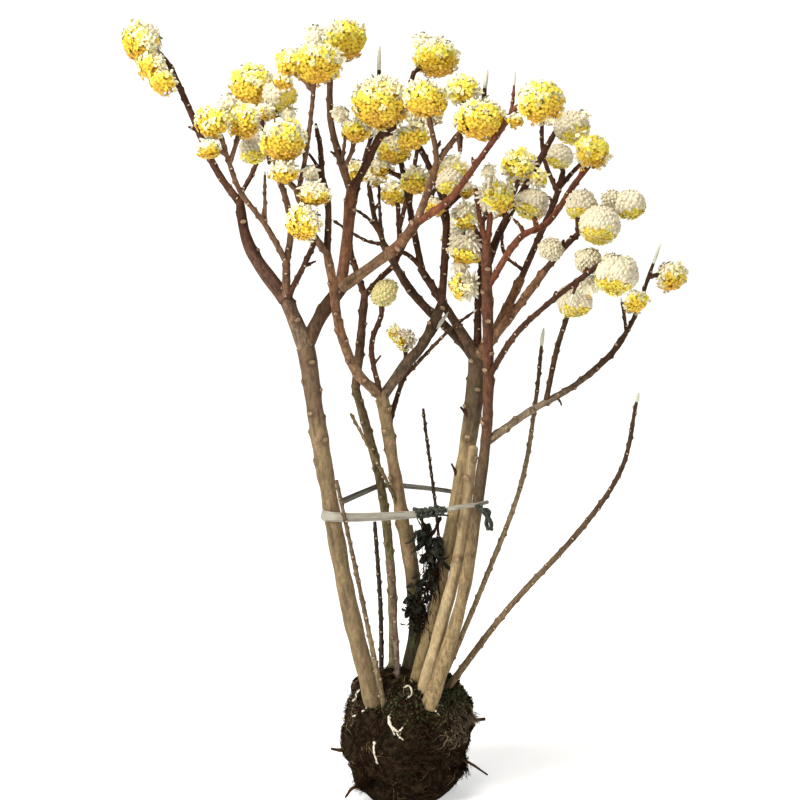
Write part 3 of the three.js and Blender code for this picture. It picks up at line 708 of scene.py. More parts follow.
TAN_SHOOT = Bark("bark_tan_shoot", "7C5E48", "684A34", "342218", 0.5, 0.8, roughness=0.66, **YOUNG)
SHOOT = Bark("bark_shoot", "4E3222", "44281A", "22140C", 0.5, 0.8, roughness=0.62, **YOUNG)
RUSSET = Bark("bark_russet", "74442E", "6A3C28", "3A2014", 0.5, 0.8, roughness=0.6, **YOUNG)
BROWN_SHOOT = Bark("bark_brown_shoot", "503724", "45301E", "26190F", 0.5, 0.8, **YOUNG)

# Lemon, golden and amber petals are lit and shaded copies of one yellow, dealt out by how far a floret faces
# up: painted light and shade. Pale petals are the fringe's own colour, and in the face a painted highlight.
PALE = Petal("petal_pale", "F4ECC0", "ECDF90")
LEMON = Petal("petal_lemon", "EFDF34", "E4CC20", "F7EFA6", 0.5)
GOLDEN = Petal("petal_golden", "E8C01C", "D0A012", "EFD65C", 0.4)
AMBER = Petal("petal_amber", "D29A14", "AC780C", "DEAE3A", 0.28)
# The dark throat is the light one's copy in painted shade, for golden and amber florets.
LIGHT_THROAT = Matter("throat_light", "E2B822", "CC9E18", 600, 0.7, 0.0002)
SHADED_THROAT = Matter("throat_dark", "BE8A14", "9A6A0E", 600, 0.7, 0.0002)
# The golden heart under the open florets is painted shade that shows in the gaps between them.
HEART = Matter("heart_golden", "CFA21A", "AC7C10", 500, 0.7, 0.0004)
WHITE_SILK = Silk("silk_white", "EFE7CE", "E2D6AC", 0.44, specks=0.1)
# Lemon and golden silk colour the outsides of the face's florets and the hanging heads' heart as painted
# shade in the gaps between lobes; the real silk is white.
LEMON_SHADE_SILK = Silk("silk_lemon", "EEDC66", "DEC940", 0.44, specks=0)
GOLDEN_SHADE_SILK = Silk("silk_golden", "E2BC34", "C79A1E", 0.44, specks=0)
CORE_SILK = Silk("silk_core", "E8DDB8", "CFC08A", 0.48, specks=0.4)
DOME_SILK = Silk("silk_dome", "D8CCAF", "C3B68F", 0.46, specks=0.75)
GREENISH_SILK = Silk("silk_greenish", "C6BA7E", "A0945C", 0.48)
DULL_SILK = Silk("silk_dull", "D2C8A8", "9E9474", 0.5, light_through=0.05, specks=0.7)
GREEN_SILK = Silk("silk_green", "A9AB8E", "71765C", 0.5, light_through=0.05)
STALK_SILK = Silk("silk_stalk", "9A9A7C", "5E6048", 0.52, light_through=0.05)
BUD_SILK = Silk("silk_bud", "CBCBB8", "8B8F78", 0.48, light_through=0.1)
SPECK = Matter("speck_dark", "45463A", "26251D", 300, 0.8)
YOUNG_SCAR = Matter("scar_young", "BFA58A", "9C8068", 500, 0.8, 0.0003, 0.1)
OLD_SCAR = Matter("scar_old", "A58A6C", "80664E", 500, 0.85, 0.0003, 0.1)

SOIL = Matter("dark_soil", "1C1610", "33291D", 150, 0.97, 0.003, 0)
MOSS = Matter("moss_green", "454A30", "2A2E1C", 220, 0.95, 0.001, 0)
DARK_ROOT = Matter("root_dark", "17100A", "2A1C12", 180, 0.9, 0.0005, 0)
RED_ROOT = Matter("root_red", "36231A", "4C3320", 180, 0.85, 0.0005, 0.03)
GREY_ROOT = Matter("root_grey", "85765E", "5A4E3C", 200, 0.9, 0.0005, 0.06)
PALE_ROOT = Matter("root_pale", "8C7450", "A88E64", 180, 0.85, 0.0005, 0.1)
WHITE_ROOT = Matter("root_white", "E6DDCB", "C9BDA2", 240, 0.7, 0.0003, 0.2)
DEAD_LEAF = Matter("leaf_dead", "191A12", "33352A", 140, 0.7, 0.0008, 0.2)
TAPE = Tape()
# The strip behind the stems: the same tape, darker as painted shade.
SHADED_BACK_TAPE = Tape("packing_tape_shaded", "6C685A", "45423A")
DARK_TAPE = Matter("tape_dark", "20221A", "3E4136", 240, 0.6, 0.0006, 0.3)


def settle(shape: Shape, name: str, finish: Finish, slot: str, *nodes: str) -> None:
    """Builds a piece and seats it on the plant's one body.

    Args:
        shape: Its corners and faces.
        name: Its name.
        finish: Its material.
        slot: Its material slot; not used.
        nodes: The solids that it stands in place of.
    """
    piece = shape.build(name, finish.material())
    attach(piece, "root")
    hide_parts(*nodes)
    log.info("%s: %d faces", piece.name, len(piece.data.polygons))


# Stems and boughs


@dataclass(frozen=True)
class Limb:
    """A stem or bough. A stem has a foot, any other limb leaves another one at a share of it.

    It goes through its places, the last of which is its tip, and its girth runs evenly through
    the thicknesses listed. A snag is broken off bluntly at its tip.
    """

    name: str
    bark: Bark
    slot: str
    girth: Girth
    places: list[Place]
    foot: Place | None = None
    leaves: str = ""
    at: float = 1.0
    snag: bool = False

    def path(self) -> Path:
        """The limb's path."""
        start = place(self.foot) if self.foot else leaving_point(self.leaves, self.at)
        return Path([start, *points_at(self.places)])

    def girth_at(self, shares: Array | float) -> Array | float:
        """The thickness at shares of the length, with a root flare if it has a foot."""
        flare = ROOT_FLARE * np.maximum(0, 1 - shares / ROOT_FLARE_REACH) if self.foot else 0
        return blend(self.girth, shares) * (1 + flare)


def leaving_point(name: str, at: float) -> Array:
    """Where a limb or a spray starts, just inside the limb that it leaves."""
    limb = LIMBS[name]
    point, way = limb.path().spot(at)
    inside = limb.girth_at(at) * FORK_OVERLAP if at == 1 else 0
    return point - inside * way


LIMB_LIST = [
    Limb(
        "stem_left", OLD_LEFT, "bark_grey", (22, 20, 20),
        [(-68, 228, -39), (-100, 408, -40), (-120, 542, -40)], foot=(-31, 82, -38),
    ),
    Limb(
        "stem_left_slim", SLIM, "bark_tan", (6.5, 4),
        [(-52, 232, -60), (-82, 372, -60)], foot=(-23, 92, -58), snag=True,
    ),
    Limb(
        "stem_dark_thin", DARK_THIN, "bark_tan", (6, 4.5),
        [(-29, 216, 40), (-36, 322, 38)], foot=(-28, 120, 40), snag=True,
    ),
    Limb(
        "stem_red_thin", RED_THIN, "bark_tan", (8, 5.5),
        [(-11, 180, -12), (-18, 276, -12)], foot=(-8, 108, -12), snag=True,
    ),
    Limb(
        "stem_olive_thin", OLIVE_THIN, "bark_tan", (6.5, 5),
        [(18, 228, 23), (7, 318, 18)], foot=(18, 120, 27), snag=True,
    ),
    Limb(
        "stem_back_left", BACK_LEFT, "bark_tan", (11, 10),
        [(-16, 252, 42), (-30, 372, 46), (-60, 486, 50)], foot=(-14, 120, 38),
    ),
    Limb(
        "stem_middle", MIDDLE, "bark_tan", (16, 15, 13),
        [(13, 210, 2), (-5, 336, -10), (-28, 478, -20)], foot=(-2, 114, 8),
    ),
    Limb(
        "trunk_right", OLD_RIGHT, "bark_grey", (17, 16, 17, 21, 20),
        [(26, 180, -14), (58, 324, -4), (79, 438, 6), (88, 528, 12)], foot=(6, 106, -20),
    ),
    Limb(
        "stem_twin", TWIN, "bark_tan", (15, 12, 10),
        [(42, 192, -31), (66, 288, -22), (82, 410, -6)], foot=(18, 102, -38),
    ),
    Limb(
        "stem_red", RED_STEM, "bark_tan", (17, 12.5, 11, 10),
        [(68, 228, -42), (91, 372, -32), (100, 468, -28), (98, 654, -40)], foot=(28, 98, -54),
    ),
    Limb(
        "stem_slender", SLENDER, "bark_tan", (7, 5.5, 4),
        [(96, 252, 12), (139, 366, 14), (157, 468, 18), (164, 534, 18)], foot=(40, 120, 14),
    ),
    Limb(
        "shoot_arching", ARCHING, "bark_tan", (8, 6.5, 4),
        [(124, 218, -25), (210, 312, -45), (260, 386, -58), (278, 466, -62)], foot=(49, 120, -8),
    ),
    Limb(
        "shoot_straight", DARK_THIN, "bark_tan", (4.5, 3),
        [(42, 276, 20), (22, 458, 10)], foot=(32, 122, 22), snag=True,
    ),
    Limb(
        "shoot_crossing", CROSSING, "bark_tan", (4.6, 3),
        [(-28, 384, -30), (-65, 452, -36)], leaves="stem_middle", at=0.66, snag=True,
    ),
    Limb(
        "bough_left", BOUGH, "bark_red", (18, 15),
        [(-133, 566, -43), (-145, 595, -46)], leaves="stem_left",
    ),
    Limb(
        "bough_inner_left", INNER_BOUGH, "bark_red", (17, 15),
        [(-100, 571, -36), (-74, 607, -30)], leaves="stem_left",
    ),
    Limb(
        "limb_far_left", LIMB, "bark_red", (14, 10),
        [(-176, 634, -34), (-191, 666, -26), (-198, 708, -18)], leaves="bough_left",
    ),
    Limb(
        "limb_up", UP_LIMB, "bark_red", (14, 12),
        [(-70, 654, -28), (-64, 724, -24)], leaves="bough_inner_left",
    ),
    Limb(
        "limb_arch", ARCH_LIMB, "bark_red", (13, 10.5),
        [(-36, 632, -52), (-6, 656, -66), (16, 684, -76)], leaves="bough_inner_left",
    ),
    Limb(
        "limb_front", MIDDLE_LIMB, "bark_red", (12, 9),
        [(-58, 503, -36), (-78, 554, -56), (-86, 606, -64), (-94, 648, -66)], leaves="stem_middle",
    ),
    Limb(
        "limb_middle", OLIVE_LIMB, "bark_red", (13, 12, 10),
        [(0, 510, -14), (23, 538, -10), (46, 588, -6)], leaves="stem_middle",
    ),
    Limb(
        "limb_back_left", RIGHT_LIMB, "bark_red", (10.5, 9.5),
        [(-53, 540, 54), (-48, 598, 58)], leaves="stem_back_left",
    ),
    Limb(
        "limb_back", RIGHT_LIMB, "bark_red", (12, 8.5),
        [(54, 552, 30), (8, 599, 48), (-26, 656, 60)], leaves="trunk_right",
    ),
    Limb(
        "limb_centre", RIGHT_LIMB, "bark_red", (12, 8.5),
        [(54, 572, 14), (19, 626, 22)], leaves="trunk_right",
    ),
    Limb(
        "limb_right_back", PALE_LIMB, "bark_red", (12, 10),
        [(114, 562, 20), (139, 613, 40)], leaves="trunk_right",
    ),
    Limb(
        "limb_right_low", PALE_LIMB, "bark_red", (10, 8.5),
        [(126, 568, -4), (168, 624, -46)], leaves="trunk_right",
    ),
    Limb(
        "limb_right_bottom", BOTTOM_LIMB, "bark_red", (10, 7, 6.5),
        [(150, 455, -10), (202, 485, 10), (244, 520, 24), (265, 548, 30)], leaves="stem_red", at=0.625,
    ),
]
LIMBS = {limb.name: limb for limb in LIMB_LIST}


# Sprays of flowering shoots


class Look(Enum):
    """How a flower head shows itself."""

    OPEN = "open"
    HANGING = "hanging"
    SPIKY = "spiky"
    SILKY = "silky"
    BUD = "bud"
    WITHERED = "withered"
    CRESCENT = "crescent"


@dataclass(frozen=True)
class Shoot:
    """A shoot of a spray, which leaves the stem or the earlier shoot counted by on.

    It goes through its places. With a radius it ends in a flower head that faces a way, by its
    nature outwards and down, and without one in a bare bud as long as bud.
    """

    at: float
    places: list[Place]
    radius: float = 0
    on: int | None = None
    girth: Girth | None = None
    faces: Place | None = None
    look: Look = Look.OPEN
    bud: float = 5


@dataclass(frozen=True)
class Spray:
    """Flowering shoots on one stem, which leaves a limb at a share of its length."""

    name: str
    leaves: str
    girth: Girth
    places: list[Place]
    shoots: list[Shoot] = field(default_factory=list)
    at: float = 1.0
    bark: Bark = SHOOT


# Ways that several heads face
FRONT_DOWN = (0, -0.8, -0.5)
DOWN = (0, -0.25, -1)
VIEWER = (0, -1, 0.05)

SPRAYS = [
    Spray("spray_far_left", "limb_far_left", (9, 6.5), [(-228, 748, -12), (-258, 816, -8), (-282, 870, -6)], [
        Shoot(1, [(-316, 898, -10)], 24, faces=(-0.75, -0.55, -0.25)),
        Shoot(0.97, [(-290, 851, -30)], 16, faces=(-0.5, -0.7, -0.5)),
        Shoot(0.04, [(-179, 750, 4), (-170, 794, 12), (-184, 847, 18)], 25, faces=VIEWER),
        Shoot(0.4, [(-186, 800, 66)], 20, on=2),
    ]),
    Spray("spray_mid_left", "bough_left", (10, 8.5), [(-142, 634, -62)], [
        Shoot(1, [(-167, 678, -74), (-198, 720, -86), (-215, 766, -94)], girth=(7, 5)),
        Shoot(1, [(-230, 802, -96)], 19, on=0, faces=(-0.3, -0.75, -0.1)),
        Shoot(0.97, [(-234, 770, -114)], 13, on=0, faces=DOWN),
        Shoot(0.9, [(-194, 804, -80)], 21, on=0, faces=(-0.4, -0.8, -0.3)),
        Shoot(0.34, [(-168, 738, -66)], on=0),
        Shoot(1, [(-137, 674, -52), (-146, 720, -42), (-172, 778, -34)], girth=(8, 6)),
        Shoot(0.96, [(-182, 768, -44)], 17, on=5, faces=(0.1, -0.4, -0.9), look=Look.HANGING),
        Shoot(0.8, [(-149, 833, -18)], 19, on=5, faces=(0.65, -0.35, -0.6), look=Look.HANGING),
    ], bark=TAN_SHOOT),
    Spray("spray_left_low", "bough_left", (7, 5.5), [(-124, 624, -66), (-109, 656, -84)], [
        Shoot(1, [(-122, 682, -112)], 21, faces=(-0.7, -0.6, -0.35)),
    ]),
    Spray("spray_up_left", "limb_up", (9.5, 6.5), [(-77, 756, -22), (-89, 804, -20), (-90, 862, -22)], [
        Shoot(1, [(-73, 900, -24)], 25, faces=(0.45, -0.8, -0.25)),
        Shoot(0.3, [(-72, 780, -34), (-71, 802, -42)]),
        Shoot(0.25, [(-64, 766, -34), (-59, 792, -40)], 15),
    ], bark=TAN_SHOOT),
    Spray("spray_up_right", "limb_up", (9.5, 8), [(-49, 746, -30), (-30, 784, -36), (-13, 797, -40)], [
        Shoot(0.85, [(-31, 826, -54)], 33, faces=FRONT_DOWN),
        Shoot(1, [(-1, 823, -36), (11, 862, -30)], girth=(6.5, 5.5)),
        Shoot(1, [(38, 880, -26)], 26, on=1, faces=(-0.1, -0.7, -0.7)),
    ]),
    Spray("spray_arch_left", "limb_arch", (8.5, 7.5), [(28, 720, -82), (38, 752, -86)], [
        Shoot(1, [(36, 774, -92), (24, 830, -100)], 24, girth=(6, 5), faces=FRONT_DOWN),
        Shoot(1, [(52, 772, -84), (68, 792, -80)], girth=(7, 6)),
        Shoot(1, [(68, 840, -66)], 20, on=1, faces=(0.1, -0.8, 0.5), look=Look.SPIKY),
        Shoot(0.95, [(91, 806, -98)], 27, on=1, faces=(0, -0.7, -0.65)),
        Shoot(0.9, [(66, 767, -86)], on=1, girth=(5, 4)),
    ], bark=TAN_SHOOT),
    Spray("spray_arch_right", "limb_arch", (9.5, 7, 6), [(54, 710, -88), (96, 766, -100), (134, 820, -110)], [
        Shoot(1, [(163, 827, -114)], 26, faces=(0.1, -0.95, 0.05)),
        Shoot(0.93, [(131, 846, -100)], bud=17),
    ], bark=RUSSET),
    Spray("spray_front_left", "limb_front", (8.5, 7.5), [(-114, 674, -76), (-130, 720, -84)], [
        Shoot(1, [(-146, 742, -90), (-145, 781, -98)], 25, girth=(6.5, 5.5), faces=(0, -0.85, -0.4)),
        Shoot(0.5, [(-145, 742, -104)], 15, on=0, faces=(-0.2, -0.5, -0.8)),
        Shoot(0.95, [(-119, 762, -86), (-112, 816, -84), (-107, 874, -80)], 28, faces=FRONT_DOWN),
        Shoot(0.8, [(-138, 874, -86)], 16, on=2, faces=(-0.5, -0.7, 0)),
    ], bark=TAN_SHOOT),
    Spray("spray_front_right", "limb_front", (8, 7), [(-92, 702, -60), (-101, 742, -60)], [
        Shoot(1, [(-115, 764, -66)]),
        Shoot(0.75, [(-108, 716, -104)], 17, faces=(0.1, -0.3, -0.95)),
        Shoot(0.9, [(-106, 794, -58)], girth=(6, 5)),
    ]),
    Spray("spray_centre", "limb_middle", (9.5, 8, 6), [
        (48, 642, -4), (49, 694, -6), (34, 738, -10), (14, 780, -14),
    ], [
        Shoot(1, [(10, 786, -24)], 18, faces=(0, -0.7, -0.6)),
        Shoot(0.58, [(54, 730, -24)], 16, faces=(0.1, -0.5, -0.85), look=Look.HANGING),
        Shoot(0.52, [(71, 720, 0)], 11, faces=DOWN),
        Shoot(0.4, [(35, 701, -26)], 11, faces=(-0.2, -0.5, -0.8)),
    ]),
    Spray("spray_bud_twig", "stem_middle", (6.5, 5.5), [(-40, 528, -36), (-28, 571, -42)], [
        Shoot(1, [(-25, 596, -44)], 15, faces=(0.25, -0.2, 0.95), look=Look.BUD),
    ], at=0.95),
    Spray("spray_middle_side", "stem_middle", (6, 4.5), [(2, 502, 10), (38, 554, 10)], [
        Shoot(0.45, [(50, 549, -18), (82, 574, -14)]),
        Shoot(0.5, [(-1, 541, 14)], 14, faces=(-0.75, -0.5, -0.5), look=Look.CRESCENT),
    ], at=0.9, bark=BROWN_SHOOT),
    Spray("spray_back_rise", "limb_back_left", (8, 6.5, 5.5), [
        (-59, 626, 66), (-66, 660, 76), (-61, 722, 92),
    ], [
        Shoot(1, [(-61, 743, 104)], 16, faces=(-0.2, -0.4, -0.9)),
        Shoot(0.8, [(-50, 752, 124), (-32, 808, 138)], 26, faces=(-0.1, 0.8, -0.5)),
    ]),
    Spray("spray_back_spread", "limb_back_left", (8, 6.5, 5.5), [
        (-30, 614, 72), (-8, 642, 92), (-8, 700, 122),
    ], [
        Shoot(1, [(-13, 716, 130)], 16, faces=(-0.2, -0.5, -0.8)),
        Shoot(0.85, [(12, 752, 130), (22, 818, 140)], 23, faces=(0, 0.8, -0.5)),
        Shoot(0.6, [(30, 712, 150), (56, 742, 168)], 22, faces=(0.1, -0.5, -0.8)),
    ]),
    Spray("spray_back", "limb_back", (6.5, 5.5), [(-36, 686, 66), (-43, 725, 70)], [
        Shoot(1, [(-36, 737, 76)], 12),
        Shoot(0.1, [(-30, 692, 52), (-31, 726, 52)]),
        Shoot(0.25, [(-58, 696, 60)]),
        Shoot(0.05, [(-47, 660, 60), (-85, 683, 60)]),
    ], bark=BROWN_SHOOT),
    Spray("spray_centre_back", "limb_centre", (8, 6.5), [(12, 666, 28), (4, 710, 34), (-4, 752, 36)], [
        Shoot(1, [(-14, 770, 36)], 21, faces=(0, -0.5, -0.8)),
        Shoot(0.85, [(-30, 748, 40)], 13, faces=DOWN),
        Shoot(0.6, [(13, 732, 24)], 18, faces=(-0.1, -0.6, -0.7)),
        Shoot(0.04, [(-10, 648, 26)], girth=(6, 4.5)),
    ], bark=BROWN_SHOOT),
    Spray("spray_upright", "trunk_right", (9.5, 8, 6.5), [(88, 588, 26), (92, 630, 34), (93, 682, 42)], [
        Shoot(0.5, [(71, 606, -28)], 18, faces=(-0.85, -0.45, -0.15), look=Look.SPIKY),
        Shoot(0.68, [(73, 650, -22)], 20, faces=(-0.3, -0.35, -0.9), look=Look.SPIKY),
        Shoot(0.85, [(74, 689, -10)], 17, faces=(-0.15, -0.35, -0.9), look=Look.SPIKY),
        Shoot(1, [(108, 708, 84)], 22, faces=(0.2, 0.8, -0.4)),
        Shoot(0.8, [(66, 668, 92)], 20, faces=(-0.2, 0.8, -0.5)),
    ]),
    Spray("spray_red", "stem_red", (7.5, 6.5), [(103, 692, -46)], [
        Shoot(1, [(109, 714, -50)], 21, faces=(0.45, -0.8, -0.1), look=Look.SPIKY),
        Shoot(0.1, [(91, 682, -44), (85, 722, -46)], girth=(6.5, 5)),
    ], bark=RUSSET),
    Spray("spray_right_back", "limb_right_back", (8, 6.5), [(162, 666, 52), (180, 708, 60), (190, 742, 66)], [
        Shoot(1, [(186, 760, 70)], 16, faces=(-0.2, -0.2, -0.9), look=Look.HANGING),
        Shoot(0.62, [(169, 713, 40)]),
        Shoot(0.8, [(224, 764, 96)], 19, faces=(0.5, 0.7, -0.4)),
        Shoot(0.75, [(166, 764, 88), (165, 824, 100)], 20, faces=(0.1, 0.7, -0.5)),
        Shoot(0.08, [(118, 648, 56), (120, 702, 66)]),
        Shoot(0.9, [(138, 748, 98)], 20, on=4, faces=(0, 0.8, -0.5)),
    ]),
    Spray("spray_right_low", "limb_right_low", (7.5, 6), [(190, 650, -66), (210, 670, -80)], [
        Shoot(1, [(234, 677, -96)], 24, faces=(-0.25, -0.3, -0.92), look=Look.HANGING),
        Shoot(1, [(240, 690, -70), (270, 702, -76)], 18, faces=(0.35, -0.2, -0.9), look=Look.HANGING),
        Shoot(0.95, [(211, 701, -64)], 19, faces=(-0.1, -0.3, -0.95), look=Look.HANGING),
        Shoot(0.35, [(175, 648, -88)], 14, faces=(-0.2, -0.3, -0.9), look=Look.WITHERED),
    ]),
    Spray("spray_right", "stem_red", (8, 7, 6), [
        (136, 661, -52), (172, 682, -48), (204, 728, -40), (220, 748, -36),
    ], [
        Shoot(1, [(224, 767, -34)], 20, faces=(0.15, -0.95, 0)),
        Shoot(0.4, [(152, 702, -28)], 20, faces=(-0.45, -0.4, -0.8), look=Look.HANGING),
        Shoot(0.3, [(130, 686, -62)]),
    ], at=0.935, bark=RUSSET),
    Spray("spray_right_high", "stem_red", (10, 8, 6), [
        (114, 670, -20), (143, 722, 8), (166, 764, 20), (186, 800, 26),
    ], [
        Shoot(1, [(200, 794, 20)], 21, faces=(0.35, -0.45, -0.8), look=Look.HANGING),
        Shoot(0.55, [(138, 750, -18)], 20, faces=(-0.15, -0.8, 0.35), look=Look.SPIKY),
    ], at=0.968),
    Spray("spray_right_front", "stem_red", (7.5, 6, 5.5), [
        (132, 546, -62), (172, 584, -92), (216, 618, -118), (238, 634, -128),
    ], [
        Shoot(1, [(254, 617, -136)], 24, faces=(-0.3, -0.25, -0.95), look=Look.HANGING),
        Shoot(0.75, [(220, 634, -98)], 16, faces=(0.1, -0.2, -1), look=Look.WITHERED),
        Shoot(0.7, [(202, 596, -116)], bud=12),
    ], at=0.795),
    Spray("spray_far_right", "limb_right_bottom", (6, 5, 4), [(276, 570, 34), (298, 632, 42)], [
        Shoot(0.88, [(320, 617, 50)], 19, faces=(0.55, -0.55, -0.6)),
        Shoot(0.1, [(260, 586, 28)], bud=6),
        Shoot(0.9, [(277, 587, 10)], 14, on=1, faces=(0.2, -0.8, -0.5)),
    ], bark=BROWN_SHOOT),
    Spray("spray_bottom_right", "limb_right_bottom", (6.5, 5.5), [(182, 528, -12), (194, 566, -20)], [
        Shoot(1, [(204, 586, -26)], 21, faces=(0, -0.15, -1), look=Look.HANGING),
    ], at=0.34, bark=BROWN_SHOOT),
]


@dataclass
class Twig:
    """A grown twig: its path, girth and parent's thickness.

    It ends in a bud as long as bud, or in a head, which it enters at the share reach of its path.
    """

    path: Path
    girth: Girth
    collar: float
    bud: float = 0
    head: bool = False
    reach: float = 1.0


@dataclass
class Head:
    """A grown flower head: where it is, its size, the way it faces and the shoot it hangs on."""

    centre: Array
    radius: float
    faces: Array
    look: Look
    seed: int
    from_point: Array | None = None
    from_way: Array | None = None


def grow_spray(spray: Spray) -> tuple[list[Twig], list[Head]]:
    """Grows a spray by the seeded rule.

    Args:
        spray: The spray, as its table has it.

    Returns:
        Its twigs, the stem first and the spurs last, and its flower heads.
    """
    dice = Dice(spray.name)
    limb = LIMBS[spray.leaves]
    stem = Path([leaving_point(spray.leaves, spray.at), *points_at(spray.places)])
    bare = not any(shoot.on is None and shoot.at == 1 for shoot in spray.shoots)
    twigs = [Twig(stem, spray.girth, limb.girth_at(spray.at), TIP_BUD if bare else 0)]
    heads = []
    for shoot in spray.shoots:
        parent = twigs[0 if shoot.on is None else shoot.on + 1]
        root = parent.path.at(shoot.at)[0]
        ends = points_at(shoot.places)
        if len(ends) == 1:
            kink = np.linalg.norm(root - ends[0]) * SHOOT_KINK * 2
            turns = np.array([dice.roll() - 0.5, dice.roll() - 0.5, dice.roll()])
            ends.insert(0, (root + ends[0]) / 2 + turns * kink)
        girth = shoot.girth or (SHOOT_GIRTH if shoot.radius else BARE_GIRTH)
        thick = blend(parent.girth, shoot.at)
        twig = Twig(Path([root, *ends]), girth, thick, shoot.bud, bool(shoot.radius))
        if shoot.radius:
            heads.append(grow_head(spray.name, shoot, twig, len(heads)))
        twigs.append(twig)
    return twigs + grow_spurs(twigs, dice), heads


def grow_head(name: str, shoot: Shoot, twig: Twig, index: int) -> Head:
    """Sets a flower head at a shoot's end, and ends its twig where it enters the head."""
    centre = place(shoot.places[-1])
    shares = np.linspace(0, 1, 60)
    away = np.linalg.norm(twig.path.at(shares) - centre, axis=1)
    inside = np.flatnonzero(away < shoot.radius * HEAD_ENTRY)
    twig.reach = float(shares[inside[0]]) if len(inside) and inside[0] > 3 else 0.5
    faces = shoot.faces
    if faces is None:
        forward = HEAD_FORWARD if shoot.places[-1][2] > BACK_OF_CROWN else -HEAD_FORWARD
        aside = np.clip(centre[0] / HEAD_ASIDE_BY, -HEAD_ASIDE, HEAD_ASIDE)
        faces = (aside, forward, -HEAD_DOWN)
    point, way = twig.path.spot(twig.reach)
    seed = name_seed(name) + index
    return Head(centre, shoot.radius, unit(np.array(faces, float)), shoot.look, seed, point, way)


def grow_spurs(twigs: list[Twig], dice: Dice) -> list[Twig]:
    """Short bare spurs on the longer twigs of a spray."""
    grown = []
    for _ in range(SPURS_PER_SPRAY):
        parent = twigs[int(dice.roll() * min(SPUR_TWIGS, len(twigs)))]
        share = np.interp(dice.roll(), (0, 1), SPUR_SHARES)
        root, along = parent.path.spot(share)
        side, other = frames(along)
        turn = dice.roll() * TAU
        length = np.interp(dice.roll(), (0, 1), SPUR_LENGTH)
        tip = root + unit(along + math.cos(turn) * side + math.sin(turn) * other) * length
        path = Path([root, (root + tip) / 2, tip])
        grown.append(Twig(path, SPUR_GIRTH, blend(parent.girth, share)))
    return grown


@dataclass(frozen=True)
class Skin:
    """How finely bark is drawn, and how it wrinkles and carries leaf scars. Millimetres."""

    sides: int
    ring: float
    wrinkle: float
    swell: float
    scar_spacing: float
    scar_size: float
    scar_rise: float


OLD_SKIN = Skin(28, 2.2, 0.5, 0.035, 12, 6.2, 1.2)
BOUGH_SKIN = Skin(20, 2.1, 0.32, 0.035, 12, 4.2, 1.25)
SHOOT_SKIN = Skin(12, 1.7, 0.15, 0.025, 9.5, 2.8, 1.0)


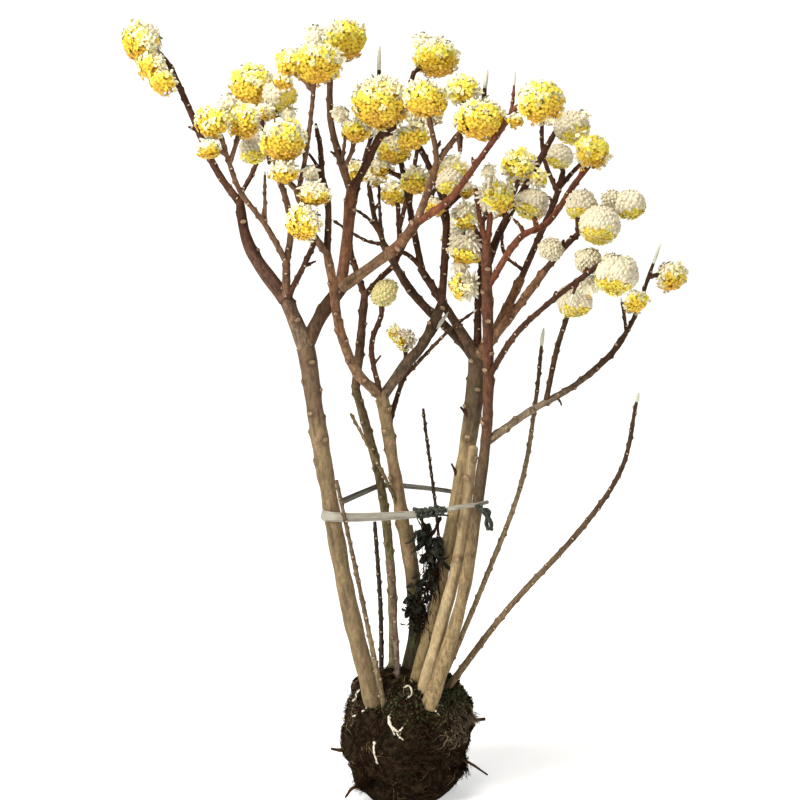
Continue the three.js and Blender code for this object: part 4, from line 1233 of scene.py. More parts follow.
class BarkSkin:
    """Bark drawn over a limb or twig, with furrows, swollen nodes and raised leaf scars."""

    FURROWS_ROUND = (2, 3, 5, 7, 9, 12)
    SWELLS = (7.5, 17)
    FOOT_SCARS = 0.9
    OLD_FOOT_SCARS = 0.06
    NODE_RISE = 0.25
    TIP_RINGS = (30, 60, 82)

    def __init__(self, skin: Skin, seed: int) -> None:
        """Keeps the skin's sizes and the seed of its wrinkles."""
        self.skin = skin
        self.random = np.random.default_rng(seed)

    def furrows(self, along: Array, turn: Array) -> Array:
        """Furrows that run along a limb, from about -1 to 1, at each ring and side."""
        total = np.zeros((len(along), len(turn)))
        weight = 0.0
        for turns in self.FURROWS_ROUND:
            lean, drift = self.random.normal(0, 0.02), self.random.uniform(0.03, 0.16)
            start = self.random.uniform(0, TAU, 3)
            size = 1 / math.sqrt(turns)
            wander = 0.9 * np.sin(drift * along + start[0])[:, None]
            fade = 0.6 + 0.4 * np.sin(0.7 * drift * along + start[1])[:, None]
            total += size * fade * np.sin(turns * turn + lean * along[:, None] + wander + start[2])
            weight += size
        return total / weight * 2

    def scars(self, length: float, young: float) -> tuple[Array, Array]:
        """How far along and how far round each leaf scar sits.

        Args:
            length: The limb's length.
            young: The share of its scars that the foot has kept.

        Returns:
            The distances along the limb and the angles round it.
        """
        spacing = self.skin.scar_spacing
        steps = np.arange(spacing * 0.7, length - spacing * 0.35, spacing)
        steps = steps + self.random.uniform(-0.22, 0.22, len(steps)) * spacing
        turn = self.random.uniform(0, TAU) + np.arange(len(steps)) * GOLDEN_TURN
        turn = turn + self.random.normal(0, 0.15, len(steps))
        kept = self.random.random(len(steps)) < young + (1 - young) * smooth(steps / length * 1.6 - 0.6)
        return steps[kept], turn[kept]

    def draw(
        self, shape: Shape, scars: "ScarSet", path: Path, girth: Array, shares: Array, tip: float
    ) -> None:
        """Draws one limb.

        Args:
            shape: The mesh that takes it, whose corners hold share and crease, the painted shade of its
                furrows and scar rims.
            scars: The set that takes its leaf scars.
            path: The limb's path.
            girth: The thickness at each share.
            shares: The shares of the path at which the limb has a ring.
            tip: How far the tip is rounded, as a share of its radius.
        """
        skin = self.skin
        middles, ways = path.at(shares), path.along(shares)
        steps = np.concatenate([[0], np.cumsum(np.linalg.norm(np.diff(middles, axis=0), axis=1))])
        turn = turns_round(skin.sides)
        furrow = self.furrows(steps, turn)
        places, angles = self.scars(steps[-1], self.OLD_FOOT_SCARS if skin is OLD_SKIN else self.FOOT_SCARS)
        waves = zip(self.SWELLS, self.random.uniform(0, TAU, 2))
        swell = 1 + skin.swell * sum(np.sin(steps / length + start) for length, start in waves)
        radius = (girth / 2 * swell)[:, None] + skin.wrinkle * furrow
        rims = np.zeros_like(radius)
        for step, angle in zip(places, angles):
            near = (steps - step)[:, None] / skin.scar_size
            off = (turn - angle + math.pi) % TAU - math.pi
            over = np.interp(step, steps, girth) / 2 * off / skin.scar_size
            cushion = np.exp(-((near / 0.8) ** 2) - (over / 1.1) ** 2)
            node = self.NODE_RISE * np.exp(-((near / 1.1) ** 2))
            radius = radius + skin.scar_rise * (cushion + node)
            rims = np.maximum(rims, (4 * cushion * (1 - cushion)) ** 3)
        side, other = frames(ways)
        out = spokes(turn, side[:, None], other[:, None])
        ring = middles[:, None] + radius[..., None] * out
        caps = [
            middles[-1] + ways[-1] * tip * radius[-1].mean() * math.sin(lift)
            + radius[-1][:, None] * out[-1] * math.cos(lift)
            for lift in np.radians(self.TIP_RINGS)
        ]
        share = np.append(shares, [shares[-1]] * len(caps)).repeat(skin.sides)
        # Crease: painted shade, darkest deep in the furrows and on the rims round the leaf scars.
        crease = np.clip(np.maximum(-furrow * 1.1 - 0.15, rims), 0, 1).ravel()
        values = {
            "share": np.append(share, shares[[0, -1]]),
            "crease": np.pad(crease, (0, len(caps) * skin.sides + 2)),
        }
        shape.add_skin(np.concatenate([ring, caps]), [middles[0], caps[-1].mean(0)], **values)
        for step, angle in zip(places, angles):
            row = int(np.searchsorted(steps, step))
            away = math.cos(angle) * side[row] + math.sin(angle) * other[row]
            column = int(round(angle / TAU * skin.sides)) % skin.sides
            scars.add(middles[row] + away * (radius[row, column] + 0.05), away, ways[row], skin.scar_size)


class ScarSet:
    """Leaf scars gathered from limbs: raised oval discs with a rim."""

    SIDES = 8

    def __init__(self) -> None:
        """Starts with no scars."""
        self.rows: list[tuple[Array, Array, Array, float]] = []

    def add(self, where: Array, out: Array, along: Array, size: float) -> None:
        """Adds one scar at a point, facing out, on a limb that runs along."""
        self.rows.append((where, out, along, size))

    def shape(self) -> Shape:
        """All the scars as one mesh."""
        where, out, along = (np.array([row[k] for row in self.rows]) for k in range(3))
        size = np.array([row[3] for row in self.rows])[:, None, None]
        across = unit(np.cross(out, along))
        turn = turns_round(self.SIDES)
        wide = np.cos(turn)[None, :, None] * across[:, None]
        tall = np.sin(turn)[None, :, None] * along[:, None] * 0.62
        rings = [
            where[:, None] + size * spread * (wide + tall) + out[:, None] * lift
            for spread, lift in ((0.62, -0.9), (0.58, 0.3), (0.34, 0.3))
        ]
        ends = [where[:, None] - out[:, None], where[:, None] + out[:, None] * 0.16]
        made = Shape()
        made.add_copies(np.concatenate([*rings, *ends], 1), *tube_faces(len(rings), self.SIDES))
        return made


# How many times as thick as their solids some limbs are drawn
FULLER = {
    "stem_twin": 1.2,
    "stem_red": 1.12,
    "stem_middle": 1.06,
    "bough_left": 1.15,
    "limb_far_left": 1.3,
    "limb_right_back": 1.15,
    "limb_right_low": 1.15,
}


@dataclass
class Limbs:
    """All the stems and boughs, a mesh each, with the leaf scars they carry.

    A limb thicker than old_from has old bark, one thicker than bough_from has a bough's, and any
    other has a shoot's. Lengths called a reach are shares of the parent's thickness.
    """

    fork_reach: float = 1.7
    side_fork_reach: float = 0.8
    fork_share: float = 0.94
    tip_rounding: float = 0.7
    snag_rounding: float = 0.35
    old_from: float = 12.9
    bough_from: float = 8.1

    def girth(self, limb: Limb, shares: Array, length: float) -> Array:
        """The drawn thickness: the limb's own or fuller, run into its parent's at a fork.

        A stem is fuller all along, and a bough less and less towards its tip.
        """
        much = 1 if limb.foot else 1 - smooth(shares)
        own = limb.girth_at(shares) * (1 + (FULLER.get(limb.name, 1) - 1) * much)
        if not limb.leaves:
            return own
        parent = LIMBS[limb.leaves].girth_at(limb.at)
        reach = parent * (self.fork_reach if limb.at == 1 else self.side_fork_reach)
        near = smooth(1 - shares * length / reach)
        return own + np.maximum(parent * self.fork_share - own, 0) * near

    def build(self, scars_old: ScarSet, scars_young: ScarSet) -> None:
        """Builds every limb."""
        for limb in LIMB_LIST:
            path = limb.path()
            thick = max(limb.girth)
            thin = SHOOT_SKIN if thick <= self.bough_from else BOUGH_SKIN
            skin = OLD_SKIN if thick > self.old_from else thin
            shares = np.linspace(0, 1, max(6, round(path.length / skin.ring)))
            shape = Shape("share", "crease")
            tip = self.snag_rounding if limb.snag else self.tip_rounding
            scars = scars_old if thick > self.bough_from else scars_young
            bark = BarkSkin(skin, name_seed(limb.name))
            bark.draw(shape, scars, path, self.girth(limb, shares, path.length), shares, tip)
            settle(shape, f"{limb.name}_bark", limb.bark, limb.slot, limb.name)


@dataclass(frozen=True)
class Form:
    """How one look of flower head is made.

    Florets grow out to spread degrees from the way the head faces, are open within closed and
    yellow within face. As shares of the radius, the silky middle reaches core, the tubes bulge
    to bulge, squash flattens the front and peak draws out the back. Lobes have the share lobe of
    their length, florets stand out unevenly by ragged millimetres, each takes up area square
    millimetres, and tint lifts a head's painted light, so that its petals take lighter colours
    than how far they face up tells.
    """

    spread: float
    closed: float = 0
    face: float = 0
    core: float = 0.8
    bulge: float = 0.66
    squash: float = 0
    peak: float = 0
    lobe: float = 1
    ragged: float = 1
    area: float = 66
    tint: float = 0


FORMS = {
    Look.OPEN: Form(150, 94, 71, squash=0.14, ragged=3, area=47),
    Look.HANGING: Form(
        168, 65, 69, core=0.92, bulge=0.9, peak=0.12, lobe=0.72, ragged=0.3, area=30, tint=1.2
    ),
    Look.SPIKY: Form(160, 66, 56, core=0.72, bulge=0.62, squash=0.08, ragged=4.2, area=50, tint=0.3),
    Look.SILKY: Form(165, core=0.76, bulge=0.7, ragged=3.4, area=56),
    Look.BUD: Form(150, core=0.86, bulge=0.8, squash=-0.5, peak=0.35, ragged=0.5, area=20),
    Look.WITHERED: Form(150, core=0.86, bulge=0.9, squash=0.1, peak=0.2, ragged=0.8, area=19),
    Look.CRESCENT: Form(150, 60, 56, core=0.62, bulge=0.6, squash=0.2, ragged=3, area=50, tint=0.5),
}
# The kind of part that a look's closed florets and silky middle are, and its heart under the open
# florets, where it isn't the usual one. Hearts are golden or lemon: painted shade in the gaps
# between open florets.
SILK_KINDS = {Look.HANGING: "domes", Look.WITHERED: "withered", Look.BUD: "budded"}
HEART_KINDS = {Look.HANGING: "backs_yellow"}

# The zones of petals from the pale fringe on, and how far a floret faces up in the brighter two.
# The lemon, golden and amber zones are painted light and shade: the further down, the deeper.
PETAL_KINDS = ("petals_pale", "petals_lemon", "petals_golden", "petals_amber")
PAINTED_SHADE_BELOW = 0.04
PAINTED_DEEP_SHADE_BELOW = -0.52

HEAD_FINISHES: dict[str, Finish] = {
    "petals_pale": PALE,
    "petals_lemon": LEMON,
    "petals_golden": GOLDEN,
    "petals_amber": AMBER,
    "throats_light": LIGHT_THROAT,
    "throats_dark": SHADED_THROAT,
    "backs_white": WHITE_SILK,
    "backs_yellow": LEMON_SHADE_SILK,
    "tubes_white": WHITE_SILK,
    "tubes_golden": GOLDEN_SHADE_SILK,
    "closed": WHITE_SILK,
    "cores": CORE_SILK,
    "hearts": HEART,
    "domes": DOME_SILK,
    "withered": DULL_SILK,
    "budded": GREENISH_SILK,
    "bracts": GREEN_SILK,
    "specks": SPECK,
    "stalks": STALK_SILK,
}


def square_to(way: Array) -> tuple[Array, Array]:
    """Two directions square to a way, or to each of many, and to one another."""
    guide = np.where(np.abs(way[..., 2:]) > STEEP, (0.0, 1.0, 0.0), (0.0, 0.0, 1.0))
    across = unit(np.cross(way, guide))
    return across, np.cross(way, across)


class Umbel:
    """One flower head: florets on a silky middle, bracts and specks behind, and a stalk.

    Each floret is a silky tube with four lobes, white and silky outside and yellow inside. In the
    yellow face the outsides and the heart under them are golden instead, painted shade between
    the florets. The tubes spread from one point at the back of the head. Millimetres.
    """

    LOBE_LENGTH = 4.7
    LOBE_WIDTH = 4.3
    LOBE_THICKNESS = 0.3
    LOBE_ROWS = 3
    MOUTH_RADIUS = 1.1
    THROAT_SIDES = 5
    TUBE_SIDES = 4
    MIDDLE_SIDES = 20
    HEART_REACH = 0.8
    FRINGE_PALE = 0.8
    # In the face, pale florets grow more often the further up they face: a painted highlight.
    FACE_PALE = 0.44
    CLUB = ((0.1, 0.5, 0.82, 1.0, 1.07), (0.9, 1.4, 1.9, 1.3, 0.2))
    CLUB_SIDES = 5
    FLUSH_CLUB = ((0.5, 0.8, 0.95, 1.03), (1.2, 2.4, 2.6, 0.9))
    BRACTS = 6
    BRACT_LENGTH = 13.0
    SPECKS = 12
    SWELL = 1.04
    HEIGHT = 0.93
    LUMP = 0.04
    LUMP_WAVES = 2.3
    BACK = 0.82
    FOOT_SPREAD = 0.12
    MOUTHS = (0.86, 0.93)
    STRAY = (-0.8, 1.3)
    FACE_OPENING = 76
    FRINGE_OPENING = 48
    BRACT_ROWS = 5

    def __init__(self, head: Head, parts: dict[str, Shape]) -> None:
        """Keeps the head and the meshes that take its parts, and seeds its uneven swelling."""
        self.head, self.parts = head, parts
        self.radius = head.radius * self.SWELL
        self.form = FORMS[head.look]
        self.random = np.random.default_rng(head.seed)
        self.across, self.other = square_to(head.faces)
        self.waves = self.random.normal(0, self.LUMP_WAVES, (3, 3))
        self.starts = self.random.uniform(0, TAU, 3)
        self.back = head.centre - head.faces * self.radius * self.BACK

    def draw(self) -> None:
        """Draws the whole head."""
        silk = SILK_KINDS.get(self.head.look, "cores")
        self.florets()
        # The heart under the open florets is golden or lemon: painted shade in the gaps between them.
        if self.form.face:
            heart = HEART_KINDS.get(self.head.look, "hearts")
            self.middle(heart, max(self.HEART_REACH, self.form.core - 0.06), 3, self.form.face + 6, 5)
        self.middle(silk, self.form.core, self.form.face + 3, 177, 9)
        self.bracts()
        self.specks()
        if self.head.from_point is not None:
            self.stalk()

    def way(self, polar: Array, turn: Array) -> Array:
        """The ways at angles from the way the head faces and round it, in radians."""
        return spokes(polar, self.head.faces, spokes(turn, self.across, self.other))

    def shell(self, ways: Array, reach: Array | float) -> Array:
        """The points of the head at ways from its centre and shares of its radius."""
        swell = 1 + self.LUMP * np.sin(ways @ self.waves.T + self.starts).sum(-1)
        out = ways * (reach * swell)[..., None] * self.radius * (1, 1, self.HEIGHT)
        ahead = out @ self.head.faces
        behind = np.minimum(ahead, 0) ** 2 / self.radius
        shift = np.maximum(ahead, 0) * self.form.squash + behind * self.form.peak
        return self.head.centre + out - shift[..., None] * self.head.faces

    def florets(self) -> None:
        """Adds all the florets, evenly spread, open or closed by how far they are from the front."""
        form, random = self.form, self.random
        cap = 1 - math.cos(math.radians(form.spread))
        count = max(8, round(TAU * self.radius**2 * cap / form.area))
        number = np.arange(count) + 0.5
        polar = np.arccos(1 - number / count * cap) + random.normal(0, 0.05, count)
        ways = self.way(polar, number * GOLDEN_TURN + random.uniform(0, TAU))
        degrees = np.degrees(polar) + random.normal(0, 8, count)
        stray = random.uniform(*self.STRAY, count) * form.ragged * smooth(degrees / 80)
        mouths = self.shell(ways, random.uniform(*self.MOUTHS, count)) + ways * stray[:, None]
        bends = self.shell(unit(ways - 0.5 * self.head.faces), form.bulge)
        feet = self.back + ways * self.radius * self.FOOT_SPREAD
        tubes = np.stack([feet, bends, mouths], 1)
        closed = degrees > form.closed
        self.open_florets(tubes[~closed], ways[~closed], degrees[~closed] < form.face)
        kind = SILK_KINDS.get(self.head.look, "closed")
        shares, radii = self.CLUB if kind == "closed" else self.FLUSH_CLUB
        size = random.uniform(0.85, 1.15, (int(closed.sum()), 1))
        if kind != "closed":
            size = size * math.sqrt(form.area / FORMS[Look.HANGING].area)
        self.parts[kind].add_tubes(self.curve(tubes[closed], shares), size * radii, self.CLUB_SIDES)

    @staticmethod
    def curve(tubes: Array, shares: Girth) -> Array:
        """Points along tubes, each given by its foot, its bend and its mouth."""
        step = np.array(shares)[None, :, None]
        foot, bend, mouth = (tubes[:, None, k] for k in range(3))
        return (1 - step) ** 2 * foot + 2 * step * (1 - step) * bend + step**2 * mouth

    def open_florets(self, tubes: Array, ways: Array, yellow: Array) -> None:
        """Adds open florets, each with a tube, a throat and four lobes in the colour of its zone. The
        lemon, golden and amber zones are painted light and shade, by how far a floret faces up.

        Args:
            tubes: The foot, bend and mouth of each.
            ways: The way from the head's centre to each.
            yellow: Which of them belong to the yellow face. The rest are its pale fringe.
        """
        random, count = self.random, len(tubes)
        size = random.uniform(0.88, 1.1, (count, 1))
        mouths = tubes[:, 2]
        out = unit(0.6 * ways + 0.4 * unit(mouths - tubes[:, 1]))
        # Painted light and shade: the further up a floret faces, the lighter its lobes; facing down they turn
        # golden, then amber.
        painted_light_level = ways[:, 2] + self.form.tint + random.normal(0, 0.13, count)
        often = np.where(yellow, self.FACE_PALE * smooth(painted_light_level + 0.4), self.FRINGE_PALE)
        pale = random.random(count) < often
        zone = np.where(pale, 0, np.where(painted_light_level > PAINTED_SHADE_BELOW, 1, np.where(painted_light_level > PAINTED_DEEP_SHADE_BELOW, 2, 3)))
        line, radii = self.curve(tubes, (0.5, 1)), size * (1.25, self.MOUTH_RADIUS)
        opening = np.where(yellow, self.FACE_OPENING, self.FRINGE_OPENING)
        lobes = self.lobes(mouths, out, size, opening)
        backs = lobes[:, :, :, ::2] - out[:, None, None, None] * self.LOBE_THICKNESS
        rows, columns = self.LOBE_ROWS, lobes.shape[3]
        reach = np.repeat(np.linspace(0, 1, rows), columns)
        rim = np.maximum(np.abs(np.tile((-1, 0, 1), rows)), reach**2)
        for index, kind in enumerate(PETAL_KINDS):
            petals = lobes[zone == index].reshape(-1, rows * columns, 3)
            self.parts[kind].add_copies(petals, grid_quads(rows, columns), reach=reach, rim=rim)
        # Golden tubes and yellow backs in the face: painted shade in the gaps between lobes; the fringe's
        # stay white.
        for tube, back, chosen in (
            ("tubes_golden", "backs_yellow", yellow),
            ("tubes_white", "backs_white", ~yellow),
        ):
            self.parts[tube].add_tubes(line[chosen], radii[chosen], self.TUBE_SIDES)
            self.parts[back].add_copies(backs[chosen].reshape(-1, rows * 2, 3), grid_quads(rows, 2)[:, ::-1])
        # The dark throats are painted shade, under the golden and amber lobes.
        for kind, chosen in (("light", zone < 2), ("dark", zone > 1)):
            self.throats(self.parts[f"throats_{kind}"], mouths[chosen], out[chosen], size[chosen])

    def lobes(self, mouths: Array, out: Array, size: Array, opening: Array) -> Array:
        """The four lobes of each open floret.

        Args:
            mouths: The middle of each floret's mouth.
            out: The way each mouth opens.
            size: The size of each floret.
            opening: How far its lobes open from straight on to flat, in degrees.

        Returns:
            The points, as floret by lobe by row by column by three.
        """
        random, count = self.random, len(mouths)
        across, other = square_to(out)
        spin = random.uniform(0, TAU, (count, 1)) + np.arange(4) * TAU / 4
        spin = spin + random.normal(0, 0.16, (count, 4))
        way = spokes(spin, across[:, None], other[:, None])
        beside = np.cross(out[:, None], way)
        along, wide = np.linspace(0, 1, self.LOBE_ROWS), np.array((-1, 0, 1))
        half = self.LOBE_WIDTH / 2 * np.sqrt(np.clip(1 - ((along - 0.5) / 0.56) ** 2, 0.06, 1))
        grown = self.form.lobe * size[..., None] * random.uniform(0.75, 1.15, (count, 4, 1))
        lean = random.uniform(-16, 16, (count, 1, 1)) + random.normal(0, 9, (count, 4, 1))
        opening = np.radians(opening[:, None, None] + lean)
        curl = random.uniform(0, 0.45, (count, 4, 1))
        run = 0.7 * self.MOUTH_RADIUS + self.LOBE_LENGTH * grown * along * np.sin(opening)
        lift = self.LOBE_LENGTH * grown * (along * np.cos(opening) - curl * along**2)
        cup = 0.45 * np.abs(wide) * np.sin(along * math.pi)[:, None]
        return (
            mouths[:, None, None, None]
            + way[:, :, None, None] * run[..., None, None]
            + out[:, None, None, None] * (lift[..., None] + cup)[..., None]
            + beside[:, :, None, None] * (grown[..., None] * half[:, None] * wide)[..., None]
        )

    def throats(self, shape: Shape, mouths: Array, out: Array, size: Array) -> None:
        """Adds the orange throat in each open floret's mouth."""
        sides = self.THROAT_SIDES
        across, other = square_to(out)
        ring = spokes(turns_round(sides), across[:, None], other[:, None])
        edge = mouths[:, None] + 0.9 * self.MOUTH_RADIUS * size[..., None] * ring + out[:, None] * 0.3
        here = np.arange(sides)
        fan = np.stack([np.full(sides, sides), here, (here + 1) % sides], -1)
        shape.add_copies(np.concatenate([edge, (mouths + out * 0.06)[:, None]], 1), fan)

    def middle(self, kind: str, reach: float, first: float, last: float, rows: int) -> None:
        """Adds the fluted middle of the head between two angles from its front, in degrees."""
        polar = np.radians(np.linspace(first, last, rows))[:, None]
        turn = turns_round(self.MIDDLE_SIDES)
        flutes = 1 + 0.035 * np.sin(polar) * np.cos(self.MIDDLE_SIDES / 2 * turn)
        rings = self.shell(self.way(polar, turn), reach * flutes)
        self.parts[kind].add_skin(rings, [rings[0].mean(0), rings[-1].mean(0)], turned=True)

    def bracts(self) -> None:
        """Adds the narrow silky bracts that clasp the back of the head."""
        random, radius, count = self.random, self.radius, self.BRACTS
        turn = (np.arange(count) * TAU / count + random.uniform(-0.25, 0.25, count))[:, None]
        steps = np.linspace(0, 1, self.BRACT_ROWS)
        length = self.BRACT_LENGTH * random.uniform(0.7, 1.15, (count, 1)) / 24
        way = self.way(math.pi - 0.12 - steps * length, turn)
        off = radius * (0.94 + 0.07 * steps**2 + random.uniform(0, 0.03, (count, 1)))
        beside = np.cross(self.head.faces, self.way(np.full(count, math.pi / 2), turn[:, 0]))
        half = 1.7 * np.sqrt(np.clip(1 - ((steps - 0.4) / 0.62) ** 2, 0.01, 1))
        wide = np.array((-1, 0, 1))
        points = (
            self.head.centre
            + (way * off[..., None])[:, :, None]
            + beside[:, None, None] * (half[:, None] * wide)[None, :, :, None]
            - np.abs(wide)[:, None] * 0.4 * way[:, :, None]
        )
        self.parts["bracts"].add_copies(points.reshape(count, -1, 3), grid_quads(self.BRACT_ROWS, 3))

    def specks(self) -> None:
        """Adds small dark tips of scales among the silk, and dark specks in the middle of a head seen full
        on, painted shade of the gap between its middle buds.
        """
        random, count = self.random, self.SPECKS
        polar = random.uniform(min(self.form.spread, 95), 165, count)
        # Painted shade: the dark gap between the middle buds of a head facing the viewer.
        if self.head.faces[1] < -0.9:
            polar[: count // 2] = random.uniform(0, 8, count // 2)
        way = self.way(np.radians(polar), random.uniform(0, TAU, count))
        start = self.shell(way, 0.92)
        lean = unit(way + random.normal(0, 0.5, (count, 3)))
        points = np.stack([start, start + lean * 1.2, start + lean * 2.6], 1)
        self.parts["specks"].add_tubes(points, np.tile((0.6, 0.55, 0.08), (count, 1)), 3)

    def stalk(self) -> None:
        """Adds the downy stalk that bends from the shoot's tip into the back of the head."""
        step = np.linspace(0, 1, 10)[:, None]
        lift = self.radius * 0.55
        one = self.head.from_point - self.head.from_way * 3
        two = self.head.from_point + self.head.from_way * lift * 0.7
        three = self.back - self.head.faces * lift
        points = (
            (1 - step) ** 3 * one + 3 * step * (1 - step) ** 2 * two
            + 3 * step**2 * (1 - step) * three + step**3 * self.back
        )
        self.parts["stalks"].add_tube(points, np.linspace(2.1, 1.6, 10), 8)


class Blossom:
    """All the flower heads, their parts gathered by kind."""

    def __init__(self) -> None:
        """Starts with every kind of part empty."""
        self.parts = {
            kind: Shape("reach", "rim") if kind in PETAL_KINDS else Shape() for kind in HEAD_FINISHES
        }

    def grow(self, head: Head) -> None:
        """Draws one head."""
        Umbel(head, self.parts).draw()

    def build(self, nodes: list[str]) -> None:
        """Builds the pieces, each of which stands for the sprays' solids."""
        for kind, shape in self.parts.items():
            settle(shape, f"heads_{kind}", HEAD_FINISHES[kind], "blossom", *nodes)


@dataclass
class Shoots:
    """All the flowering sprays: their twigs, buds and heads.

    A twig is as thick at its root as collar_share of its parent, over collar_reach of the parent's
    thickness, and swells under a head. A bud's profile is rows of how far along and how thick.
    """

    collar_share: float = 0.8
    collar_reach: float = 1.1
    head_swell: float = 0.16
    head_swell_length: float = 9
    bud_sides: int = 9
    bud_girth: float = 4.4
    bud_profile: tuple = (
        (-0.12, 0.6), (0.05, 0.9), (0.22, 1.0), (0.42, 1.0),
        (0.62, 0.86), (0.8, 0.62), (0.93, 0.34), (1.0, 0.06),
    )
    bud_lean: Place = (0.03, 0, 0.02)
    stub_girth: Girth = (3.4, 3.6, 5.4, 5.0)
    standing_bud_girth: float = 5.6
    twig_seed: int = 50
    filler_seed: int = 700
    snag_seed: int = 11

    def draw_twig(self, twig: Twig, shape: Shape, scars: ScarSet, seed: int) -> None:
        """Draws one twig, widened at its root and swollen under its head."""
        rings = max(5, round(twig.path.length * twig.reach / SHOOT_SKIN.ring))
        shares = np.linspace(0, twig.reach, rings)
        steps = shares * twig.path.length
        own = blend(twig.girth, shares)
        near = smooth(1 - steps / (twig.collar * self.collar_reach))
        girth = own + np.maximum(twig.collar * self.collar_share - own, 0) * near
        if twig.head:
            near = smooth(1 - (steps[-1] - steps) / self.head_swell_length)
            girth = girth * (1 + self.head_swell * near)
        BarkSkin(SHOOT_SKIN, seed).draw(shape, scars, twig.path, girth, shares, 0.6)

    def draw_bud(self, buds: Shape, path: Path, girth: float, length: float) -> None:
        """Draws the silky spindle of a bare tip."""
        tip, way = path.spot(1)
        steps, shares = np.array(self.bud_profile).T
        lean = np.array(self.bud_lean) * length
        points = tip + steps[:, None] * length * way + (steps**2)[:, None] * lean
        wide = min(self.bud_girth, girth * 0.95) / 2 * (1 + 0.15 * (length > 12))
        buds.add_tube(points, wide * shares, self.bud_sides)

    def build(self, scars: ScarSet) -> None:
        """Builds every spray's twigs as a piece, and the buds and blossom of all of them."""
        buds, stubs, blossom = Shape(), Shape("share", "crease"), Blossom()
        nodes = [spray.name for spray in SPRAYS]
        for spray in SPRAYS:
            twigs, heads = grow_spray(spray)
            shape = Shape("share", "crease")
            for index, twig in enumerate(twigs):
                self.draw_twig(twig, shape, scars, name_seed(spray.name) + self.twig_seed + index)
                if twig.bud and not twig.head:
                    self.draw_bud(buds, twig.path, twig.girth[-1], twig.bud)
            settle(shape, f"{spray.name}_twigs", spray.bark, "bark_red", spray.name)
            for head in heads:
                blossom.grow(head)
        for index, (where, radius, look, faces) in enumerate(FILLERS):
            way = unit(np.array(faces, float))
            blossom.grow(Head(place(where), radius, way, look, self.filler_seed + index))
        for places in STANDING_BUDS:
            self.draw_standing_bud(stubs, buds, scars, points_at(places))
        for foot, tip, thick in SNAGS:
            self.draw_snag(stubs, scars, place(foot), place(tip), thick)
        settle(stubs, "standing_bud_stubs", SHOOT, "bark_red", *nodes)
        for name, length in LIMB_BUDS.items():
            self.draw_bud(buds, LIMBS[name].path(), LIMBS[name].girth[-1] * 1.2, length)
        settle(buds, "silky_buds", BUD_SILK, "blossom", *nodes)
        blossom.build(nodes)

    def draw_snag(self, stubs: Shape, scars: ScarSet, foot: Array, tip: Array, thick: float) -> None:
        """Draws a short broken snag, a little bent."""
        shares = np.linspace(0, 1, 8)
        snag = Path([foot, (foot + tip) / 2 + (0.6, 0, 0), tip])
        girth = blend((thick, thick * 0.8, thick * 0.6), shares)
        BarkSkin(SHOOT_SKIN, self.snag_seed).draw(stubs, scars, snag, girth, shares, 0.5)

    def draw_standing_bud(self, stubs: Shape, buds: Shape, scars: ScarSet, points: list[Array]) -> None:
        """Draws a long bud that stands up behind a head, on a short dark stub."""
        stub = Path(points[:-1])
        shares = np.linspace(0, 1, 14)
        girth = blend(self.stub_girth, shares)
        BarkSkin(SHOOT_SKIN, int(points[0][2])).draw(stubs, scars, stub, girth, shares, 0.8)
        length = float(np.linalg.norm(points[-1] - points[-2]))
        self.draw_bud(buds, stub, self.standing_bud_girth, length)


# Small heads that fill the gaps between the others: place, radius, look and facing.
FILLERS = [
    ((-304, 870, -20), 18, Look.OPEN, (-0.5, -0.7, -0.5)),
    ((-109, 906, -74), 13, Look.SILKY, (-0.2, -0.6, -0.7)),
    ((-146, 852, -84), 11, Look.OPEN, (-0.3, -0.5, -0.8)),
    ((-77, 810, -34), 11, Look.SILKY, (-0.6, -0.3, -0.6)),
    ((-309, 884, -14), 14, Look.OPEN, (-0.7, -0.6, -0.3)),
    ((20, 899, -24), 11, Look.SILKY, (-0.2, -0.6, -0.7)),
    ((133, 805, -112), 9, Look.OPEN, DOWN),
    ((160, 733, -24), 11, Look.SPIKY, (0.5, -0.7, 0.2)),
    ((222, 605, -100), 13, Look.SILKY, DOWN),
    ((67, 628, -20), 10, Look.SILKY, DOWN),
    ((-166, 814, -28), 11, Look.OPEN, (-0.2, -0.4, -0.9)),
    ((249, 708, -72), 11, Look.WITHERED, (0.6, -0.3, -0.7)),
    ((-114, 740, -90), 10, Look.SILKY, DOWN),
    ((214, 808, 16), 9, Look.SILKY, (0.3, -0.5, -0.7)),
    ((-212, 826, -84), 11, Look.SILKY, (-0.3, -0.6, -0.6)),
    ((-141, 812, -22), 10, Look.SILKY, DOWN),
    ((246, 634, -130), 10, Look.WITHERED, DOWN),
    ((101, 742, -48), 9, Look.SILKY, FRONT_DOWN),
    ((-12, 550, 10), 8, Look.SPIKY, (-0.6, -0.7, 0.3)),
]

# Long silky buds that stand up behind flower heads: each one's stub, and its tip last.
STANDING_BUDS = [
    [(-34, 826, -20), (-31, 850, -18), (-31, 864, -18), (-36, 894, -18)],
    [(88, 806, -60), (94, 826, -60), (96, 842, -60), (95, 866, -60)],
]

# Short broken snags: foot, tip and thickness.
SNAGS = [
    ((76, 448, 0), (67, 460, -2), 4.6),
    ((63, 376, -4), (56, 392, -6), 4.0),
    ((184, 470, 4), (188, 462, 2), 3.0),
    ((66, 766, -84), (67, 790, -84), 4.8),
    ((-105, 784, -56), (-107, 800, -58), 5.0),
]
LIMB_BUDS = {"stem_slender": 22, "shoot_arching": 12}


# Root ball


